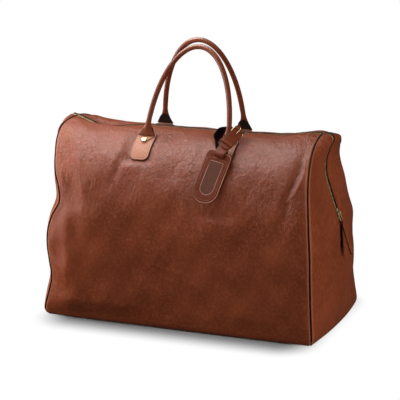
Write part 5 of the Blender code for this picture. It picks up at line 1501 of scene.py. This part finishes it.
# The keeper: a rounded rectangle round both layers of the strap, carried along a short way
def makeKeeper():
    wanted = np.linspace(strap["keeperDown"], strap["keeperDown"] + strap["keeperLength"], 9)
    place = readAt(front, legLength, wanted)
    across = unit(readAt(frontWide, legLength, wanted))
    outward = unit(readAt(frontOut, legLength, wanted))
    thick = strap["keeperThick"]
    low = -strap["thick"] / 2 - 2 * body["gap"] - thick
    high = strap["thick"] * 1.5 + 4 * body["gap"] + thick
    half = strap["width"] / 2 + 2 * body["gap"] + thick
    loop = evenLoop(roundedOutline(2 * half, low, high, thick * 1.1, thick * 1.1, 6), 72)
    crown = 0.0002 * np.sin(math.pi * np.linspace(0, 1, 9))[:, None, None]
    middle = np.array([0, (low + high) / 2])
    loop = loop[None] + unit(loop - middle)[None] * crown
    grid = place[:, None] + across[:, None] * loop[..., :1] + outward[:, None] * loop[..., 1:]
    centre = place + outward * middle[1]
    addHide("strapKeeper", grid, thick, lambda points: points - centre[4], tagLeather, "bag",
            "strap_keeper", around=True)


# The buckle: a wire frame leaning up over the strap's end, and a pin bent round its bar
def makeBuckle():
    rise = overlap + strap["thick"] / 2 + strap["wire"] + body["gap"]
    half = strap["width"] / 2 + strap["buckleRoom"] + strap["wire"]
    lean = math.asin(rise / strap["buckleLength"])
    outline = roundedOutline(2 * half, 0, strap["buckleLength"], strap["wire"] * 1.3,
                             strap["wire"] * 2, 6)
    path = stacked(outline[:, 0], outline[:, 1] * math.sin(lean), outline[:, 1] * math.cos(lean))
    first = strapFrame[:3, :3] @ np.array([0, math.cos(lean), -math.sin(lean)])
    wire = roundRings(moved(strapFrame, path), strap["wire"], 14, True, first)
    addPiece("tagBuckle", skin(wire, True), studBrass, "bag", ("tag_buckle",))
    around = strap["wire"] + body["gap"] + strap["prong"]
    end = np.array([0, rise + strap["wire"] + strap["prong"] + body["gap"],
                    strap["buckleLength"] * math.cos(lean)])
    leave = math.atan2(end[2], end[1]) - math.acos(around / math.hypot(end[1], end[2]))
    angles = np.linspace(leave - math.radians(285), leave, 36)
    loop = stacked(0, around * np.cos(angles), around * np.sin(angles))
    share = np.linspace(0, 1.18, 12)[1:, None]
    path = np.concatenate([loop, loop[-1] + (end - loop[-1]) * share])
    size = np.full(len(path), strap["prong"])
    size[[0, -1]] *= 0.5
    wire = roundRings(moved(strapFrame, path), size, 12, False, strapFrame[:3, 0])
    addPiece("bucklePin", skin(wire), studBrass, "prong", ("buckle_prong",))


makeKeeper()
makeBuckle()
print("strap made")

# Base, board and lining

# The base: a flat sheet just inside the lower edges of the panels
def makeBase():
    inset = body["gap"]
    right = float(seamOut("front", "right", 0)) - inset - body["leather"] / 2
    left = float(seamOut("front", "left", 0)) - inset - body["leather"] / 2
    half = float(halfDepth(0)) - inset - body["leather"] / 2
    x = np.linspace(-left, right, 90)
    y = np.linspace(-half, half, 46)
    addHide("basePanel", stacked(x, y[:, None], 0), body["leather"], (0, 0, -1), bodyLeather, "bag",
            "base_panel")


makeBase()
for name, finish in (("base_board", fibreBoard), ("zip_slider", zipMetal),
                     ("left_zip_stop", zipMetal), ("right_zip_stop", zipMetal),
                     ("lining", liningCloth)):
    coat(name, finish)
print("inside made")

# Studio: a pale floor that keeps the shadow and is white further off, soft boxes and the camera

studio = {"floor": 6.0, "paper": ("#6e6e6e", "#747474"), "white": 1.0, "ambient": 0.10,
          "mirrored": 0.03,
          "footprint": (0.200, 0.132, 10.0), "shadowReach": (0.012, 0.090),
          # place, size, power and whether the leather mirrors it
          "boxes": (("topBox", (-0.45, -0.06, 1.20), (1.0, 0.8), 23.0, True),
                    ("keyBox", (-0.10, -2.20, 0.60), (1.2, 0.8), 12.0, False),
                    ("leftBox", (-1.30, -0.30, 0.36), (0.4, 0.8), 26.0, False),
                    ("stripBox", (-1.20, -0.34, 0.42), (0.3, 0.8), 6.0, True),
                    ("sideBox", (1.60, -0.30, 0.60), (0.6, 1.0), 24.0, False),
                    ("backBox", (0.30, 2.20, 0.70), (1.2, 0.8), 10.0, False))}


# 1 for what the camera sees, also through glass, with the tree's other kinds of ray
def seenRays(tree):
    rays = addNode(tree, "LightPath").outputs
    return rays, addNode(tree, "Math", {
        0: rays["Is Camera Ray"], 1: rays["Is Transmission Ray"]}, operation="MAXIMUM")


def floorMaterial():
    made, tree, shader, place = newMaterial("matt_white_paper_sweep")
    fibre = addNode(tree, "TexNoise", {"Vector": place, "Scale": 60, "Detail": 4})
    low, high = studio["paper"]
    paper = addNode(tree, "Mix", {"Factor": fibre, "A": low, "B": high}, data_type="RGBA")
    setInputs(tree, shader, {"Base Color": paper, "Roughness": 0.9, "Specular IOR Level": 0.1})
    past = place  # how far past the bag's footprint: the length of max(|x, y| - half its sides, 0)
    for operation, value in (("ABSOLUTE", (0, 0, 0)), ("SUBTRACT", studio["footprint"]),
                             ("MAXIMUM", (0, 0, 0))):
        past = addNode(tree, "VectorMath", {0: past, 1: value}, operation=operation)
    far = addNode(tree, "VectorMath", {0: past}, operation="LENGTH")
    fade = addNode(tree, "MapRange", {
        "Value": far, "From Min": studio["shadowReach"][0], "From Max": studio["shadowReach"][1]},
        interpolation_type="SMOOTHSTEP")
    share = addNode(tree, "Math", {0: seenRays(tree)[1], 1: fade}, operation="MULTIPLY")
    white = addNode(tree, "Emission", {"Color": "#ffffff", "Strength": studio["white"]})
    mix = addNode(tree, "MixShader", {0: share, 1: shader, 2: white})
    setInputs(tree, tree.nodes["Material Output"], {"Surface": mix})
    return made


half = studio["floor"]
mesh = bpy.data.meshes.new("floor")
mesh.from_pydata([(x * half, y * half, -0.0004) for x, y in ((-1, -1), (1, -1), (1, 1), (-1, 1))],
                 [], [(0, 1, 2, 3)])
floor = putObject("floor", mesh)
mesh.materials.append(floorMaterial())
floor.visible_glossy = False  # black flags lie around the bag: it mirrors a dark room and the floor
floor.visible_diffuse = False  # throws no light up at it

world = bpy.data.worlds.new("studio")
bpy.context.scene.world = world
world.use_nodes = True
tree = world.node_tree
plain = tree.nodes["Background"]
setInputs(tree, plain, {"Color": "#ffffff", "Strength": studio["ambient"]})
white, dark = [addNode(tree, "Background", {"Color": "#ffffff", "Strength": studio[key]})
               for key in ("white", "mirrored")]
rays, seen = seenRays(tree)
room = addNode(tree, "MixShader", {0: rays["Is Glossy Ray"], 1: plain, 2: dark})
mix = addNode(tree, "MixShader", {0: seen, 1: room, 2: white})
setInputs(tree, tree.nodes["World Output"], {"Surface": mix})

aim = Vector((0, 0, 0.18))
for name, place, size, power, mirrored in studio["boxes"]:
    lamp = bpy.data.lights.new(name, "AREA")
    lamp.shape = "RECTANGLE"
    lamp.size, lamp.size_y = size
    lamp.energy = power
    box = putObject(name, lamp)
    box.visible_glossy = mirrored
    box.location = place
    box.rotation_mode = "QUATERNION"
    box.rotation_quaternion = (aim - Vector(place)).to_track_quat("-Z", "Y")

view = {"azimuth": math.radians(21.27), "elevation": math.radians(14.57), "distance": 3.383,
        "lens": 162, "target": Vector((-0.0037, 0, 0.2136))}
back = Vector((math.sin(view["azimuth"]) * math.cos(view["elevation"]),
               -math.cos(view["azimuth"]) * math.cos(view["elevation"]),
               math.sin(view["elevation"])))
lens = bpy.data.cameras.new("camera")
lens.lens = view["lens"]
lens.sensor_width = 36
camera = putObject("camera", lens)
camera.location = view["target"] + back * view["distance"]
camera.rotation_mode = "QUATERNION"
camera.rotation_quaternion = back.to_track_quat("Z", "Y")
bpy.context.scene.camera = camera
bpy.context.scene.view_settings.view_transform = "Standard"

print("scene ready")
